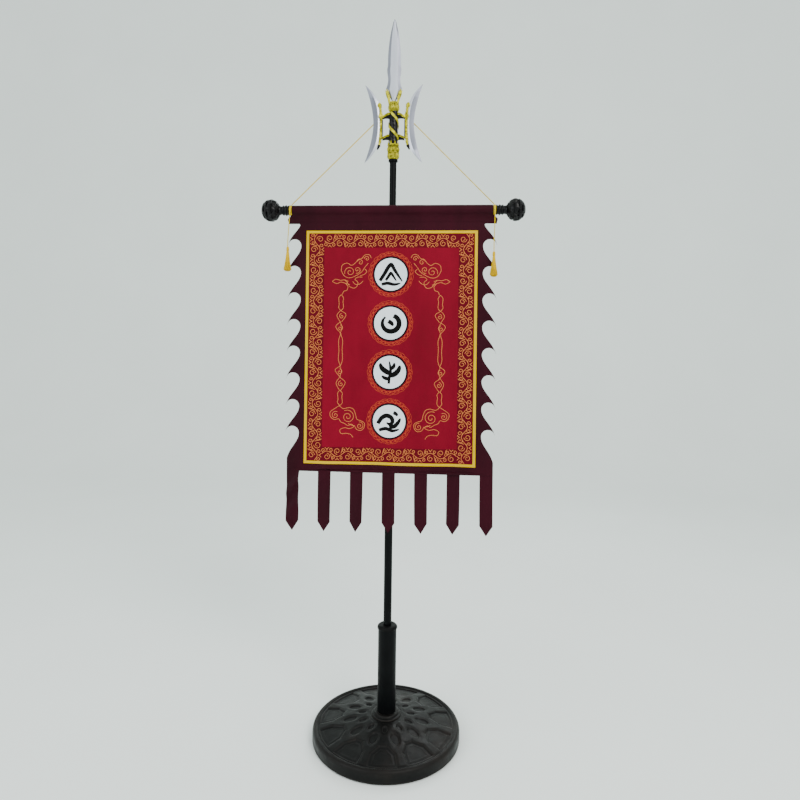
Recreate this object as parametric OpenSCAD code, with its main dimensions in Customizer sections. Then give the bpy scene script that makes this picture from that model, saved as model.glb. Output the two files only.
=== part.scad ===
// Free-standing hanging banner: a weighted round base with a tube, a two-section pole with a halberd
// head, and a cross bar on a cord that carries a cloth banner between two turned finials and two tassels.
// Millimetres. The origin is on the floor at the centre of the base, +Z is up and the banner faces -Y.

/* [Base] */
// Diameter of the round base
base_d = 400; // [380:5:420]
// Height of the base's rim above the floor
rim_h = 35; // [33:1:38]
// How far the rubber feet stand out below the base
foot_h = 3; // [2.5:0.5:4]
// Outer diameter of the tube that stands on the base
tube_d = 50; // [48:1:52]
// Height of the tube's upper end above the floor
tube_top = 293; // [280:1:320]
// Wall of the base tube
tube_wall = 2; // [1.5:0.5:2.5]

/* [Pole] */
// Outer diameter of the lower pole
lower_d = 22; // [21.6:0.1:22.4]
// Outer diameter of the upper pole, which slides in the lower one
upper_d = 19; // [18.8:0.1:19.1]
// Wall of both pole tubes
pole_wall = 1.2; // [1.1:0.1:1.2]
// Height of the lower pole's upper end, inside the clamp collar
joint_z = 950; // [930:5:970]
// Height of the upper pole's lower end
upper_z = 700; // [690:5:720]

/* [Head] */
// Height of the lower edge of the ferrule under the head
head_z = 1572; // [1560:2:1580]
// Length of the spear blade above its cup
spear_len = 231; // [210:1:240]
// Height of each crescent blade, tip to tip
crescent_h = 216; // [200:2:220]

/* [Hanger] */
// Height of the cross bar's axis
bar_z = 1434; // [1430:1:1438]
// Distance of the cross bar's axis in front of the pole's axis
bar_out = 25; // [24.5:0.5:27]
// Diameter of the cross bar
bar_d = 25; // [24:0.5:25]
// Half the length of the cross bar between the finials
bar_half = 273; // [270:1:276]
// Diameter of the hanging cord
cord_d = 3; // [2.5:0.5:3]

/* [Banner] */
// Width of the piped frame round the red panel
frame_w = 466; // [450:2:470]
// Height of the lower edge of the piped frame
frame_low = 743; // [740:1:748]
// Height of the upper edge of the piped frame
frame_top = 1378.6; // [1370:0.2:1382]
// Half the width of the cloth across the teeth
tooth_x = 284; // [280:1:286]
// Distance between neighbouring teeth
tooth_pitch = 73; // [72:0.5:74]
// Diameter of each round patch, with its black ring
roundel_d = 97; // [90:1:104]
// Distance between the centres of neighbouring patches
roundel_pitch = 132.7; // [125:0.1:136]
// Width of each streamer
streamer_w = 35; // [30:1:40]
// Length of each streamer, to the tip of its point
streamer_len = 163.5; // [150:0.5:180]

/* [Hidden] */
$fn = 64;

// Running clearance on the radius of every turning or sliding fit
fit = 0.05;
// Clearance on the radius of a screw or stud in its hole
hole_gap = 0.2;
eps = 0.01;

// Base
base_r = base_d / 2;
shell_wall = 5;
cover_t = 4;
cover_z = foot_h + 0.5;
hub_top = rim_h + 24.5;
hub_hole_r = 30;
tube_r = tube_d / 2;
tube_in_r = tube_r - tube_wall;
foot_count = 5;
foot_ring_r = 165;
screw_ring_r = 130;
plate_z = cover_z + cover_t;
plate_t = 5;
plate_r = 43;
tube_bolt_r = 34;
tube_bolt_count = 3;

// Poles
lower_r = lower_d / 2;
lower_in_r = lower_r - pole_wall;
upper_r = upper_d / 2;
upper_in_r = upper_r - pole_wall;
foot_z = plate_z + plate_t + 0.2;
foot_floor = 6;
lower_z = foot_z + foot_floor + 0.1;
cap_h = 28;
clamp_z = joint_z - 12;
collar_low = joint_z - 25;
collar_r = 16;
bush_h = 10.8;

// Head
ferrule_h = 7;
collar_z = head_z + ferrule_h;
collar_h = 40;
column_z = collar_z + collar_h;
column_h = 91;
column_r = 13;
column_top = column_z + column_h;
pole_top = collar_z + 21;
stud_r = 4;
cup_h = 26;
spear_z = column_top + cup_h;
crescent_z = column_z + 59;
arm_y = 4.5;

// Hanger: the cord passes over the upper arms at this height
cord_z = column_z + 75;
bar_r = bar_d / 2;
knot_x = bar_half + 4;
knot_r = bar_r + 0.6;

// Banner, from the sleeve down to the hem; depths are distances in front of the bar's axis
cloth_t = 1.6;
sleeve_in_r = bar_r + 0.4;
sleeve_r = sleeve_in_r + 1;
sleeve_half = bar_half - 0.5;
notch_r = 18.3;
seam_z = bar_z - 34;
first_tip_z = seam_z - 60;
tooth_count = 8;
hem_z = first_tip_z - (tooth_count - 1) * tooth_pitch - 105.5;
hem_x = tooth_x - 4.5;
piping_w = 8;
panel_mid_z = (frame_low + frame_top) / 2;
streamer_count = 7;
streamer_point = 27;
streamer_pitch = 2 * (hem_x - streamer_w / 2) / (streamer_count - 1);

// Tassels: x of the cord's top, x of the tassel, and height of the tassel's top
tail_left = [-277, -281, 1333];
tail_right = [277, 275, 1320];
tail_out = bar_out + knot_r + cord_d / 2 + 1.6;
tail_d = 2.4;
tassel_h = 69;
tassel_r = 11.5;

// Half widths of the spear blade at heights above its cup, down to the tang inside the cup
spear_outline = [
    [-8, 2.5], [0, 2.5], [11, 9], [25, 16.5], [38, 22.5], [46, 19.5], [58, 17.2], [69, 17], [81, 18.6],
    [93, 19.5], [108, 19], [128, 17.8], [150, 16.5], [173, 14.6], [194, 12], [211, 8.2], [223, 4],
    [231, 0.4]
];

spear_drawn = 231;

// Unit vector along v
function unit(v) = v / norm(v);

// A point on a smooth curve through the points p, between p[i] and p[i + 1]
function smooth_at(p, i, t) =
    let (a = p[max(i - 1, 0)], b = p[i], c = p[i + 1], d = p[min(i + 2, len(p) - 1)])
    0.5 * (2 * b + (c - a) * t + (2 * a - 5 * b + 4 * c - d) * t * t
        + (3 * b - a - 3 * c + d) * t * t * t);

// The smooth curve through the points p, with steps points for each stretch
function smooth(p, steps) = concat(
    [for (i = [0:len(p) - 2]) for (s = [0:steps - 1]) smooth_at(p, i, s / steps)],
    [p[len(p) - 1]]
);

// A cubic Bezier curve from a to d, without its first point
function bezier(a, b, c, d, steps) = [
    for (s = [1:steps]) let (t = s / steps, u = 1 - t)
    u * u * u * a + 3 * u * u * t * b + 3 * u * t * t * c + t * t * t * d
];

// Joins rings of points, each with the same count, into one closed solid
module loft(rings) {
    n = len(rings[0]);
    m = len(rings);
    polyhedron(
        points = [for (ring = rings) for (p = ring) p],
        faces = concat(
            [[for (j = [n - 1:-1:0]) j]],
            [for (i = [0:m - 2]) for (j = [0:n - 1]) [
                i * n + j, i * n + (j + 1) % n, (i + 1) * n + (j + 1) % n, (i + 1) * n + j
            ]],
            [[for (j = [0:n - 1]) (m - 1) * n + j]]
        )
    );
}

// Sweeps a round section along path; each point is [x, y, z, radius], and side is never along the path
module sweep(path, side, sides = 8) {
    m = len(path);
    place = [for (p = path) [p[0], p[1], p[2]]];
    loft([
        for (i = [0:m - 1])
        let (
            along = unit(place[min(i + 1, m - 1)] - place[max(i - 1, 0)]),
            u = unit(cross(along, side)),
            v = cross(u, along)
        )
        [for (j = [0:sides - 1]) let (a = 360 * j / sides)
            place[i] + path[i][3] * (cos(a) * u + sin(a) * v)]
    ]);
}

// Upright tube between two heights
module pipe(r, r_in, z0, z1) {
    translate([0, 0, z0])
    difference() {
        cylinder(r = r, h = z1 - z0);
        translate([0, 0, -eps]) cylinder(r = r_in, h = z1 - z0 + 2 * eps);
    }
}

// Puts copies of a child on a circle
module ring_of(count, r) {
    for (i = [0:count - 1]) rotate([0, 0, 360 * (i + 0.5) / count]) translate([r, 0, 0]) children();
}

// Extrudes an outline drawn in x and z, between two depths in front of the pole's axis
module sheet(front, back) {
    translate([0, -back, 0]) rotate([90, 0, 0]) linear_extrude(front - back) children();
}

// Base: a thin cast shell with a raised rim and a dome up to the hub
module base_shell() {
    color("#23211f")
    rotate_extrude($fn = 128) polygon([
        [base_r - shell_wall, foot_h], [base_r, foot_h], [base_r, rim_h - 9],
        [base_r - 1.5, rim_h - 4], [base_r - 5, rim_h - 1], [base_r - 10, rim_h],
        [base_r - 16, rim_h - 3.5], [150, rim_h + 4.5], [110, hub_top - 12], [75, hub_top - 4.5],
        [46, hub_top], [hub_hole_r, hub_top], [hub_hole_r, hub_top - 6], [46, hub_top - 6],
        [75, hub_top - 10.5], [110, hub_top - 18], [150, rim_h - 1.5],
        [base_r - 20, rim_h - 10], [base_r - shell_wall, rim_h - 11]
    ]);
}

// Concrete ring that fills the base shell
module ballast_core() {
    color("#8d8a84")
    difference() {
        rotate_extrude($fn = 128) polygon([
            [plate_r + 1, plate_z + 0.2], [base_r - shell_wall - 1, plate_z + 0.2],
            [base_r - shell_wall - 1, rim_h - 12], [base_r - 20, rim_h - 11.2], [150, rim_h - 2.8],
            [110, hub_top - 19.3], [75, hub_top - 11.7], [plate_r + 1, hub_top - 7.2]
        ]);
        ring_of(foot_count, screw_ring_r) translate([0, 0, plate_z]) cylinder(r = 2 + hole_gap, h = 14);
    }
}

// Flat plate that closes the base from below
module base_cover() {
    color("#1c1b1a")
    difference() {
        translate([0, 0, cover_z]) cylinder(r = base_r - shell_wall - 0.5, h = cover_t, $fn = 128);
        ring_of(foot_count, screw_ring_r)
            translate([0, 0, cover_z - eps]) cylinder(r = 2 + hole_gap, h = cover_t + 2 * eps);
        ring_of(tube_bolt_count, tube_bolt_r)
            translate([0, 0, cover_z - eps]) cylinder(r = 3 + hole_gap, h = cover_t + 2 * eps);
    }
}

module rubber_feet() {
    color("#151515")
    ring_of(foot_count, foot_ring_r) {
        cylinder(r1 = 11, r2 = 13, h = cover_z);
    }
}

// Self-tapping screws that hold the cover to the ballast
module cover_screws() {
    color("#8a8c8e")
    ring_of(foot_count, screw_ring_r) {
        translate([0, 0, cover_z - 2]) cylinder(r = 4, h = 2);
        translate([0, 0, cover_z - eps]) cylinder(r = 2, h = 16);
    }
}

// Two-step ring that trims the foot of the tube
module hub_ring() {
    color("#1e1c1b")
    rotate_extrude($fn = 96) polygon([
        [tube_r + 0.2, hub_top], [40, hub_top], [39, hub_top + 3.5], [34, hub_top + 4.5],
        [33, hub_top + 8], [29, hub_top + 10], [tube_r + 0.2, hub_top + 10]
    ]);
}

// Round plate welded to the tube and bolted through the cover
module tube_foot_plate() {
    color("#202224")
    difference() {
        translate([0, 0, plate_z]) cylinder(r = plate_r, h = plate_t);
        ring_of(tube_bolt_count, tube_bolt_r)
            translate([0, 0, plate_z - eps]) cylinder(r = 3 + hole_gap, h = plate_t + 2 * eps);
    }
}

module tube_bolts() {
    color("#8a8c8e")
    ring_of(tube_bolt_count, tube_bolt_r) {
        translate([0, 0, cover_z - 2.4]) cylinder(r = 6, h = 2.4);
        translate([0, 0, cover_z - eps]) cylinder(r = 3, h = 16.5);
    }
}

module tube_nuts() {
    color("#8a8c8e")
    ring_of(tube_bolt_count, tube_bolt_r)
    difference() {
        translate([0, 0, plate_z + plate_t]) cylinder(r = 5.7, h = 5, $fn = 6);
        translate([0, 0, plate_z + plate_t - eps]) cylinder(r = 3 + fit, h = 5 + 2 * eps);
    }
}

module base_tube() {
    color("#1b1c1d") pipe(tube_r, tube_in_r, plate_z + plate_t, tube_top);
}

// Rounded plug on the tube's mouth, bored for the lower pole
module tube_cap() {
    r = tube_r + 2.3;
    color("#171717")
    rotate_extrude() polygon([
        [tube_in_r - fit, tube_top], [r - 0.8, tube_top], [r, tube_top + 1.5], [r, tube_top + 4],
        [r - 1, tube_top + 7], [r - 3.5, tube_top + 9.5], [r - 7, tube_top + 10.5],
        [lower_r + fit, tube_top + 10.5], [lower_r + fit, tube_top + 10.5 - cap_h],
        [tube_in_r - fit, tube_top + 10.5 - cap_h]
    ]);
}

// Cup that centres the lower pole's end in the tube
module pole_foot() {
    color("#222222")
    translate([0, 0, foot_z])
    difference() {
        cylinder(r = tube_in_r - fit, h = 36);
        translate([0, 0, foot_floor]) cylinder(r = lower_r + fit, h = 36);
    }
}

// Lower pole, with a hole for the clamp's stud near its upper end
module lower_pole() {
    color("#131415")
    difference() {
        pipe(lower_r, lower_in_r, lower_z, joint_z);
        translate([0, 0, clamp_z]) rotate([-90, 0, 0]) cylinder(r = 3 + hole_gap, h = 30);
    }
}

// Collar on the lower pole's upper end: it carries the clamp and the bush
module clamp_collar() {
    color("#161616")
    difference() {
        rotate_extrude() polygon([
            [lower_r + fit, collar_low], [collar_r - 1, collar_low], [collar_r, collar_low + 1],
            [collar_r, joint_z + 12], [collar_r - 3, joint_z + 15], [upper_r + 0.5, joint_z + 15],
            [upper_r + 0.5, joint_z + bush_h + 0.2], [lower_r + 1 + fit, joint_z + bush_h + 0.2],
            [lower_r + 1 + fit, joint_z + eps], [lower_r + fit, joint_z + eps]
        ]);
        translate([0, 0, clamp_z]) rotate([-90, 0, 0]) cylinder(r = 3 + fit, h = 30);
    }
}

// Plastic bush that the upper pole slides in
module collar_bush() {
    color("#d8d4c8") pipe(lower_r + 1, upper_r + fit, joint_z + 0.1, joint_z + bush_h);
}

module clamp_stud() {
    color("#9a9c9e")
    translate([0, upper_r + 0.1, clamp_z]) rotate([-90, 0, 0]) cylinder(r = 3, h = 17);
}

// Three-lobed hand knob on the clamp's stud
module clamp_knob() {
    color("#121212")
    translate([0, collar_r + 1, clamp_z]) rotate([-90, 0, 0])
    difference() {
        union() {
            cylinder(r = 8.5, h = 14);
            for (i = [0:2]) rotate([0, 0, 90 + 120 * i]) translate([8.2, 0, 3]) cylinder(r = 5.3, h = 9.5);
        }
        translate([0, 0, -1]) cylinder(r = 3.05, h = 11);
    }
}

module upper_pole() {
    color("#131415") pipe(upper_r, upper_in_r, upper_z, pole_top);
}

// Plug on the upper pole's lower end, which runs in the lower pole's bore
module pole_guide() {
    color("#d8d4c8")
    translate([0, 0, upper_z]) {
        translate([0, 0, -12]) cylinder(r = lower_in_r - fit, h = 12);
        translate([0, 0, -eps]) cylinder(r = upper_in_r - 0.1, h = 15);
    }
}

module pole_top_plug() {
    color("#3a3a3a") pipe(upper_in_r - 0.1, stud_r + 0.02, pole_top - 30, pole_top);
}

// Steel stud that joins the pole's plug, the collar and the column
module head_stud() {
    color("#9a9c9e") translate([0, 0, pole_top - 20]) cylinder(r = stud_r, h = 60);
}

module head_ferrule() {
    color("#0f0f0f")
    rotate_extrude() polygon([
        [upper_r + 0.1, head_z], [12, head_z], [13, head_z + 1.5], [13, head_z + ferrule_h - 1.5],
        [12.2, head_z + ferrule_h], [upper_r + 0.1, head_z + ferrule_h]
    ]);
}

// Gilt collar with two swells, under the black column
module gold_collar() {
    color("#b9a843")
    rotate_extrude() polygon([
        [upper_r + 0.1, collar_z], [12.4, collar_z], [14.6, collar_z + 3], [16.4, collar_z + 8],
        [16.2, collar_z + 13], [14.8, collar_z + 17], [16.3, collar_z + 21], [17, collar_z + 26],
        [16.6, collar_z + 31], [14.6, collar_z + 35], [15.8, collar_z + 38],
        [14.5, collar_z + collar_h], [stud_r + 0.02, collar_z + collar_h],
        [stud_r + 0.02, pole_top + 0.1], [upper_r + 0.1, pole_top + 0.1]
    ]);
}

module head_column() {
    color("#17141c")
    rotate_extrude() polygon([
        [stud_r + 0.02, column_z], [column_r - 1.5, column_z], [column_r - 0.5, column_z + 6],
        [column_r, column_z + 20], [column_r - 1, column_z + 45], [column_r, column_z + 70],
        [column_r - 0.8, column_top], [0, column_top], [0, column_z + 24],
        [stud_r + 0.02, column_z + 24]
    ]);
}

// Two gilt bands that wind down round the column
module gold_spiral() {
    pitch = 90;
    color("#b9a843")
    for (start = [0, 180])
        sweep(
            [for (i = [0:34]) let (a = start - 126 + 9 * i)
                [13.4 * cos(a), 13.4 * sin(a), column_top - 3 - pitch * 9 * i / 360, 2.2]],
            [0, 0, 1]
        );
}

// One pair of cross arms, each an arch from the column to its bracket
module arms(z, h, rise) {
    color("#15121a")
    difference() {
        for (side = [0, 1]) mirror([side, 0, 0])
            sheet(arm_y, -arm_y) translate([0, z]) polygon(concat(
                [[10, 0], [31, 0]],
                bezier([31, h - rise], [25, h - rise], [18, h], [10, h], 8),
                [[10, h]]
            ));
        translate([0, 0, z - 1]) cylinder(r = column_r + 0.05, h = h + 2);
    }
}

module upper_arms() { arms(cord_z - 3, 16, 8); }
module lower_arms() { arms(column_z + 13, 16, 6); }

// Gilt scroll that carries one crescent blade
module bracket() {
    path = [
        [38.5, 0, column_z + 112, 5.4], [37.5, 0, column_z + 104, 4.6], [36, 0, column_z + 92, 5],
        [35, 0, column_z + 80, 6.4], [35, 0, column_z + 68, 5.2], [35.5, 0, column_z + 50, 4.6],
        [35.5, 0, column_z + 34, 4.8], [36, 0, column_z + 20, 5.2], [37.5, 0, column_z + 8, 4.8],
        [40.5, 0, column_z - 3, 4.6], [42.5, 0, column_z - 8, 3]
    ];
    color("#b9a843") sweep(smooth(path, 2), [0, 1, 0], 10);
}

module bracket_right() { bracket(); }
module bracket_left() { mirror([1, 0, 0]) bracket(); }

// Crescent blade: a bevelled edge on both sides of one ridge
module crescent() {
    half = crescent_h / 2;
    color("#b9bec6")
    loft([
        for (i = [-16:16])
        let (
            t = 0.995 * sin(90 * i / 16),
            inner = 36 + 43 * pow(abs(t), 3),
            outer = max(56 + 23.6 * pow(abs(t), 1.7), inner + 0.4),
            ridge = inner + 0.32 * (outer - inner),
            y = min(3, 0.25 * (outer - inner)) + 0.1,
            z = crescent_z + half * t
        )
        [[inner, 0, z], [ridge, y, z], [outer, 0, z], [ridge, -y, z]]
    ]);
}

module crescent_right() { crescent(); }
module crescent_left() { mirror([1, 0, 0]) crescent(); }

// Gilt cup that holds the spear blade
module spear_cup() {
    color("#b9a843")
    rotate_extrude() polygon([
        [0, column_top], [11.5, column_top], [13.5, column_top + 3], [15.5, column_top + 11],
        [15.2, column_top + 17], [13.6, column_top + 22], [14.4, column_top + cup_h], [0, column_top + cup_h]
    ]);
}

// Two gilt horns beside the foot of the spear blade
module spear_horns() {
    path = [
        [10.5, -1.5, column_top + 22, 4.2], [13, -2, column_top + 31, 3.8],
        [15.2, -2, column_top + 42, 4.6], [17.6, -2, column_top + 50, 4.6],
        [18.6, -2, column_top + 56, 2.6]
    ];
    color("#b9a843")
    for (side = [0, 1]) mirror([side, 0, 0])
        sweep([for (p = smooth(path, 2)) [p[0], p[1] - 5.2, p[2], p[3]]], [0, 1, 0], 8);
}

// Spear blade with a ridge and two bevels on each face
module spear_blade() {
    color("#c3c8d0")
    loft([
        for (p = spear_outline)
        let (
            z = spear_z + p[0] * spear_len / spear_drawn,
            w = p[1],
            y = min(3.2, 0.35 * w) + 0.2,
            e = min(0.3, w / 4)
        )
        [
            [w, -e, z], [w, e, z], [0.5 * w, 0.62 * y, z], [0, y, z], [-0.5 * w, 0.62 * y, z],
            [-w, e, z], [-w, -e, z], [-0.5 * w, -0.62 * y, z], [0, -y, z], [0.5 * w, -0.62 * y, z]
        ]
    ]);
}

// Puts a child's Z axis along the cross bar's axis, pointing to the right
module on_bar(x) {
    translate([x, -bar_out, bar_z]) rotate([0, 90, 0]) children();
}

module cross_bar() {
    color("#1a1412")
    on_bar(-bar_half)
    difference() {
        cylinder(r = bar_r, h = 2 * bar_half);
        translate([0, 0, -eps]) cylinder(r = stud_r + 0.02, h = 20);
        translate([0, 0, 2 * bar_half - 20]) cylinder(r = stud_r + 0.02, h = 20 + eps);
    }
}

// Turned finial: a groove for the cord's knot, three rings and a carved ball
module finial() {
    ball_x = 59.6;
    ball_half = 26;
    ball_r = 31;
    color("#141313")
    on_bar(bar_half + 0.2)
    rotate_extrude() polygon(concat(
        [
            [stud_r + 0.02, 0], [bar_r - 1, 0], [bar_r - 1, 7], [13.5, 7.5], [14, 9], [13.5, 10.5],
            [12, 11.5], [12, 13.5], [14, 14.5], [14.6, 16.5], [14, 18.5], [12, 19.5], [12, 21.5],
            [13.5, 22.5], [14, 24], [13.5, 25.5], [11.5, 27.5], [11.5, 32], [14, 35]
        ],
        [for (a = [-68:11.25:90]) [ball_r * cos(a), ball_x + ball_half * sin(a)]],
        [[0, ball_x + ball_half], [0, 25], [stud_r + 0.02, 25]]
    ));
}

module finial_right() { finial(); }
module finial_left() { mirror([1, 0, 0]) finial(); }

module finial_studs() {
    color("#9a9c9e")
    for (x = [-bar_half - 22, bar_half - 18]) on_bar(x) cylinder(r = stud_r, h = 40);
}

// Two turns of the cord round each finial's groove
module cord_knots() {
    color("#e6dc9a")
    for (side = [0, 1]) mirror([side, 0, 0])
        for (turn = [0, cord_d + 0.1]) on_bar(knot_x - 2 + turn)
            rotate_extrude() translate([knot_r, 0]) circle(r = cord_d / 2, $fn = 24);
}

// The cord from the left knot, behind the head's blades and column, to the right knot
module hanging_cord() {
    half = [
        [0, 19.5, cord_z + 6], [14, 18.5, cord_z + 6], [27, 14, cord_z + 5],
        [38, 11.5, cord_z + 2.5], [47, 11.8, cord_z - 3.5], [58.5, 12, cord_z - 14.5]
    ];
    foot = [knot_x - 2, -bar_out, bar_z + knot_r + cord_d / 2 + 1.2];
    line = [for (s = [0.1:0.15:1]) half[5] + (foot - half[5]) * s];
    right = concat(half, line);
    all = concat([for (i = [len(right) - 1:-1:1]) [-right[i][0], right[i][1], right[i][2]]], right);
    color("#e6dc9a") sweep([for (p = all) [p[0], p[1], p[2], cord_d / 2]], [0, 1, 0.2]);
}

// Cloth sleeve round the cross bar
module bar_sleeve() {
    color("#4a1420")
    on_bar(-sleeve_half)
    difference() {
        cylinder(r = sleeve_r, h = 2 * sleeve_half);
        translate([0, 0, -eps]) cylinder(r = sleeve_in_r, h = 2 * sleeve_half + 2 * eps);
    }
}

// The right edge of the cloth, from the sleeve down to the hem: one round notch under each tooth
function tooth_edge(i) =
    let (
        tip = [tooth_x, first_tip_z - i * tooth_pitch],
        mid = tip + [-18.4, -3.1],
        low = i < tooth_count - 1 ? tip - [0, tooth_pitch] : [hem_x, tip[1] - 72]
    )
    concat(
        [for (a = [10:17:180]) mid + notch_r * [cos(a), sin(a)]],
        bezier(mid - [notch_r, 0], tip + [-36.7, -27], low + [-8, 30], low, 7)
    );

function right_edge() = concat(
    [
        [sleeve_half, bar_z], [sleeve_half, bar_z - 15.5], [sleeve_half + 13, bar_z - 18],
        [sleeve_half + 4, bar_z - 31], [tooth_x - 28, seam_z]
    ],
    bezier(
        [tooth_x - 34, seam_z - 2], [tooth_x - 32, seam_z - 20],
        [tooth_x - 8, first_tip_z + 30], [tooth_x, first_tip_z], 7
    ),
    [for (i = [0:tooth_count - 1]) each tooth_edge(i)],
    [[hem_x, hem_z]]
);

function mirrored(points) = [for (i = [len(points) - 1:-1:0]) [-points[i][0], points[i][1]]];

// Backing cloth with wave-shaped teeth down both sides
module banner_ground() {
    edge = right_edge();
    color("#4a1420")
    difference() {
        sheet(bar_out + cloth_t / 2, bar_out - cloth_t / 2) polygon(concat(edge, mirrored(edge)));
        on_bar(-tooth_x - 20) cylinder(r = sleeve_r, h = 2 * tooth_x + 40);
    }
}

module panel_outline(inset) {
    translate([-frame_w / 2 + inset, frame_low + inset])
        square([frame_w - 2 * inset, frame_top - frame_low - 2 * inset]);
}

module red_panel() {
    front = bar_out + cloth_t / 2;
    color("#96232d") sheet(front + 0.8, front) panel_outline(piping_w);
}

module gold_piping() {
    front = bar_out + cloth_t / 2;
    color("#e1be1e")
    sheet(front + 1, front)
    difference() {
        panel_outline(0);
        panel_outline(piping_w);
    }
}

// Four round patches down the middle of the panel
module roundels() {
    front = bar_out + cloth_t / 2 + 0.8;
    color("#d7dee6")
    for (i = [0:3])
        sheet(front + 0.5, front)
            translate([0, panel_mid_z + (1.5 - i) * roundel_pitch]) circle(r = roundel_d / 2);
}

// Seven streamers along the hem, each with a pointed end
module streamers() {
    w = streamer_w / 2;
    color("#4a1420")
    for (i = [0:streamer_count - 1])
        sheet(bar_out + cloth_t / 2, bar_out - cloth_t / 2)
            translate([(i - (streamer_count - 1) / 2) * streamer_pitch, hem_z]) polygon([
                [-w, 0], [w, 0], [w, streamer_point - streamer_len], [0, -streamer_len],
                [-w, streamer_point - streamer_len]
            ]);
}

// Free end of the cord, from its knot down to a tassel
module tassel_cord(tail) {
    path = [
        [tail[0], -tail_out, bar_z], [tail[0], -tail_out, bar_z - 12],
        [(tail[0] + tail[1]) / 2, -tail_out, bar_z - 50], [tail[1], -tail_out, bar_z - 85],
        [tail[1], -tail_out, tail[2]]
    ];
    color("#e6dc9a") sweep([for (p = smooth(path, 3)) [p[0], p[1], p[2], tail_d / 2]], [0, 1, 0]);
}

// Tassel: a bound head over a skirt of threads
module tassel(tail) {
    color("#e6c21a")
    translate([tail[1], -tail_out, tail[2]])
    rotate_extrude() polygon([
        [0, 0], [1.8, -0.5], [3.4, -3], [3.8, -6], [3.2, -9.5], [3, -11], [3.6, -12.5],
        [5, -20], [7.5, -38], [9.6, -54], [tassel_r, -tassel_h], [0, -tassel_h]
    ]);
}

module tassel_cord_left() { tassel_cord(tail_left); }
module tassel_left() { tassel(tail_left); }
module tassel_cord_right() { tassel_cord(tail_right); }
module tassel_right() { tassel(tail_right); }

base_shell();
ballast_core();
base_cover();
rubber_feet();
cover_screws();
hub_ring();
tube_foot_plate();
tube_bolts();
tube_nuts();
base_tube();
tube_cap();
pole_foot();
lower_pole();
clamp_collar();
collar_bush();
clamp_stud();
clamp_knob();
upper_pole();
pole_guide();
pole_top_plug();
head_stud();
head_ferrule();
gold_collar();
head_column();
gold_spiral();
upper_arms();
lower_arms();
bracket_left();
bracket_right();
crescent_left();
crescent_right();
spear_cup();
spear_horns();
spear_blade();
cross_bar();
finial_left();
finial_right();
finial_studs();
cord_knots();
hanging_cord();
bar_sleeve();
banner_ground();
red_panel();
gold_piping();
roundels();
streamers();
tassel_cord_left();
tassel_left();
tassel_cord_right();
tassel_right();
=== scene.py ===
import math
import random

import bpy
from mathutils import Matrix, Vector, geometry, noise


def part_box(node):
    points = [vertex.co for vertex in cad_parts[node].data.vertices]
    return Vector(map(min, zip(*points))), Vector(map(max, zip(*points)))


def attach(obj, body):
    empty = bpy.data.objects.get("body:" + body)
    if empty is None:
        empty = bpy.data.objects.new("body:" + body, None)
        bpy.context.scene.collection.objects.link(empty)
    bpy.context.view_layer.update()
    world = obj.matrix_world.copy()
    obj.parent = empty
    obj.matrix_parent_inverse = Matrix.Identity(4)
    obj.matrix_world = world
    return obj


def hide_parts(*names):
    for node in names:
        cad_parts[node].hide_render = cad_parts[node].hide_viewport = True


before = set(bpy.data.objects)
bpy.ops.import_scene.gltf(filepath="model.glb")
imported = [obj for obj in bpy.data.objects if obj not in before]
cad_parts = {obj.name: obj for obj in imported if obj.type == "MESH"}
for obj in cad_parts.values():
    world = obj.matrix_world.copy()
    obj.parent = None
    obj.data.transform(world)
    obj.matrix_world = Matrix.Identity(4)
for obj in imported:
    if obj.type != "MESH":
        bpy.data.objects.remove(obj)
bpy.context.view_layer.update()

MM = 0.001
TAU = 2 * math.pi


# ---------------------------------------------------------------- camera, light and CAD boxes

def box_mm(node):
    """A CAD node's lowest and highest corners, in millimetres."""
    low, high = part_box(node)
    return [c / MM for c in low], [c / MM for c in high]


def make_camera():
    """A 28 mm view from the front right, at chest height, shifted down to take in the base."""
    height, distance, azimuth = 1.051, 1.6906, 0.08554
    heading, pitch, roll = azimuth - 0.01491, 0.00548, -0.01238
    camera = bpy.data.cameras.new("camera")
    camera.sensor_width = 36
    camera.lens = 27.67
    camera.shift_y = -0.0648
    obj = bpy.data.objects.new("camera", camera)
    bpy.context.scene.collection.objects.link(obj)
    level = Vector((-math.sin(heading), math.cos(heading), 0))
    right = Vector((math.cos(heading), math.sin(heading), 0))
    up = Vector((0, 0, 1))
    forward = level * math.cos(pitch) + up * math.sin(pitch)
    above = up * math.cos(pitch) - level * math.sin(pitch)
    side = right * math.cos(roll) - above * math.sin(roll)
    top = above * math.cos(roll) + right * math.sin(roll)
    turn = Matrix((side, top, -forward)).transposed().to_4x4()
    place = Vector((distance * math.sin(azimuth), -distance * math.cos(azimuth), height))
    obj.matrix_world = Matrix.Translation(place) @ turn
    bpy.context.scene.camera = obj


def area_light(name, place, target, size, power, colour=(1, 1, 1)):
    light = bpy.data.lights.new(name, "AREA")
    light.shape = "DISK"
    light.size = size
    light.energy = power
    light.color = colour
    obj = bpy.data.objects.new(name, light)
    bpy.context.scene.collection.objects.link(obj)
    obj.location = place
    obj.rotation_euler = (Vector(target) - Vector(place)).to_track_quat("-Z", "Y").to_euler()


def make_lights():
    world = bpy.data.worlds.new("world")
    world.use_nodes = True
    world.node_tree.nodes["Background"].inputs["Color"].default_value = (0.80, 0.86, 0.84, 1)
    world.node_tree.nodes["Background"].inputs["Strength"].default_value = 1.3
    bpy.context.scene.world = world
    area_light("key", (1.9, -2.6, 3.1), (0, 0, 1.0), 1.8, 95, (1.0, 0.98, 0.95))
    area_light("fill", (-2.4, -2.2, 1.9), (0, 0, 1.0), 2.2, 45, (0.93, 0.97, 1.0))
    area_light("rim", (0.6, 2.2, 2.6), (0, 0, 1.2), 1.6, 20, (0.96, 0.98, 1.0))


# ---------------------------------------------------------------- materials

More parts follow.
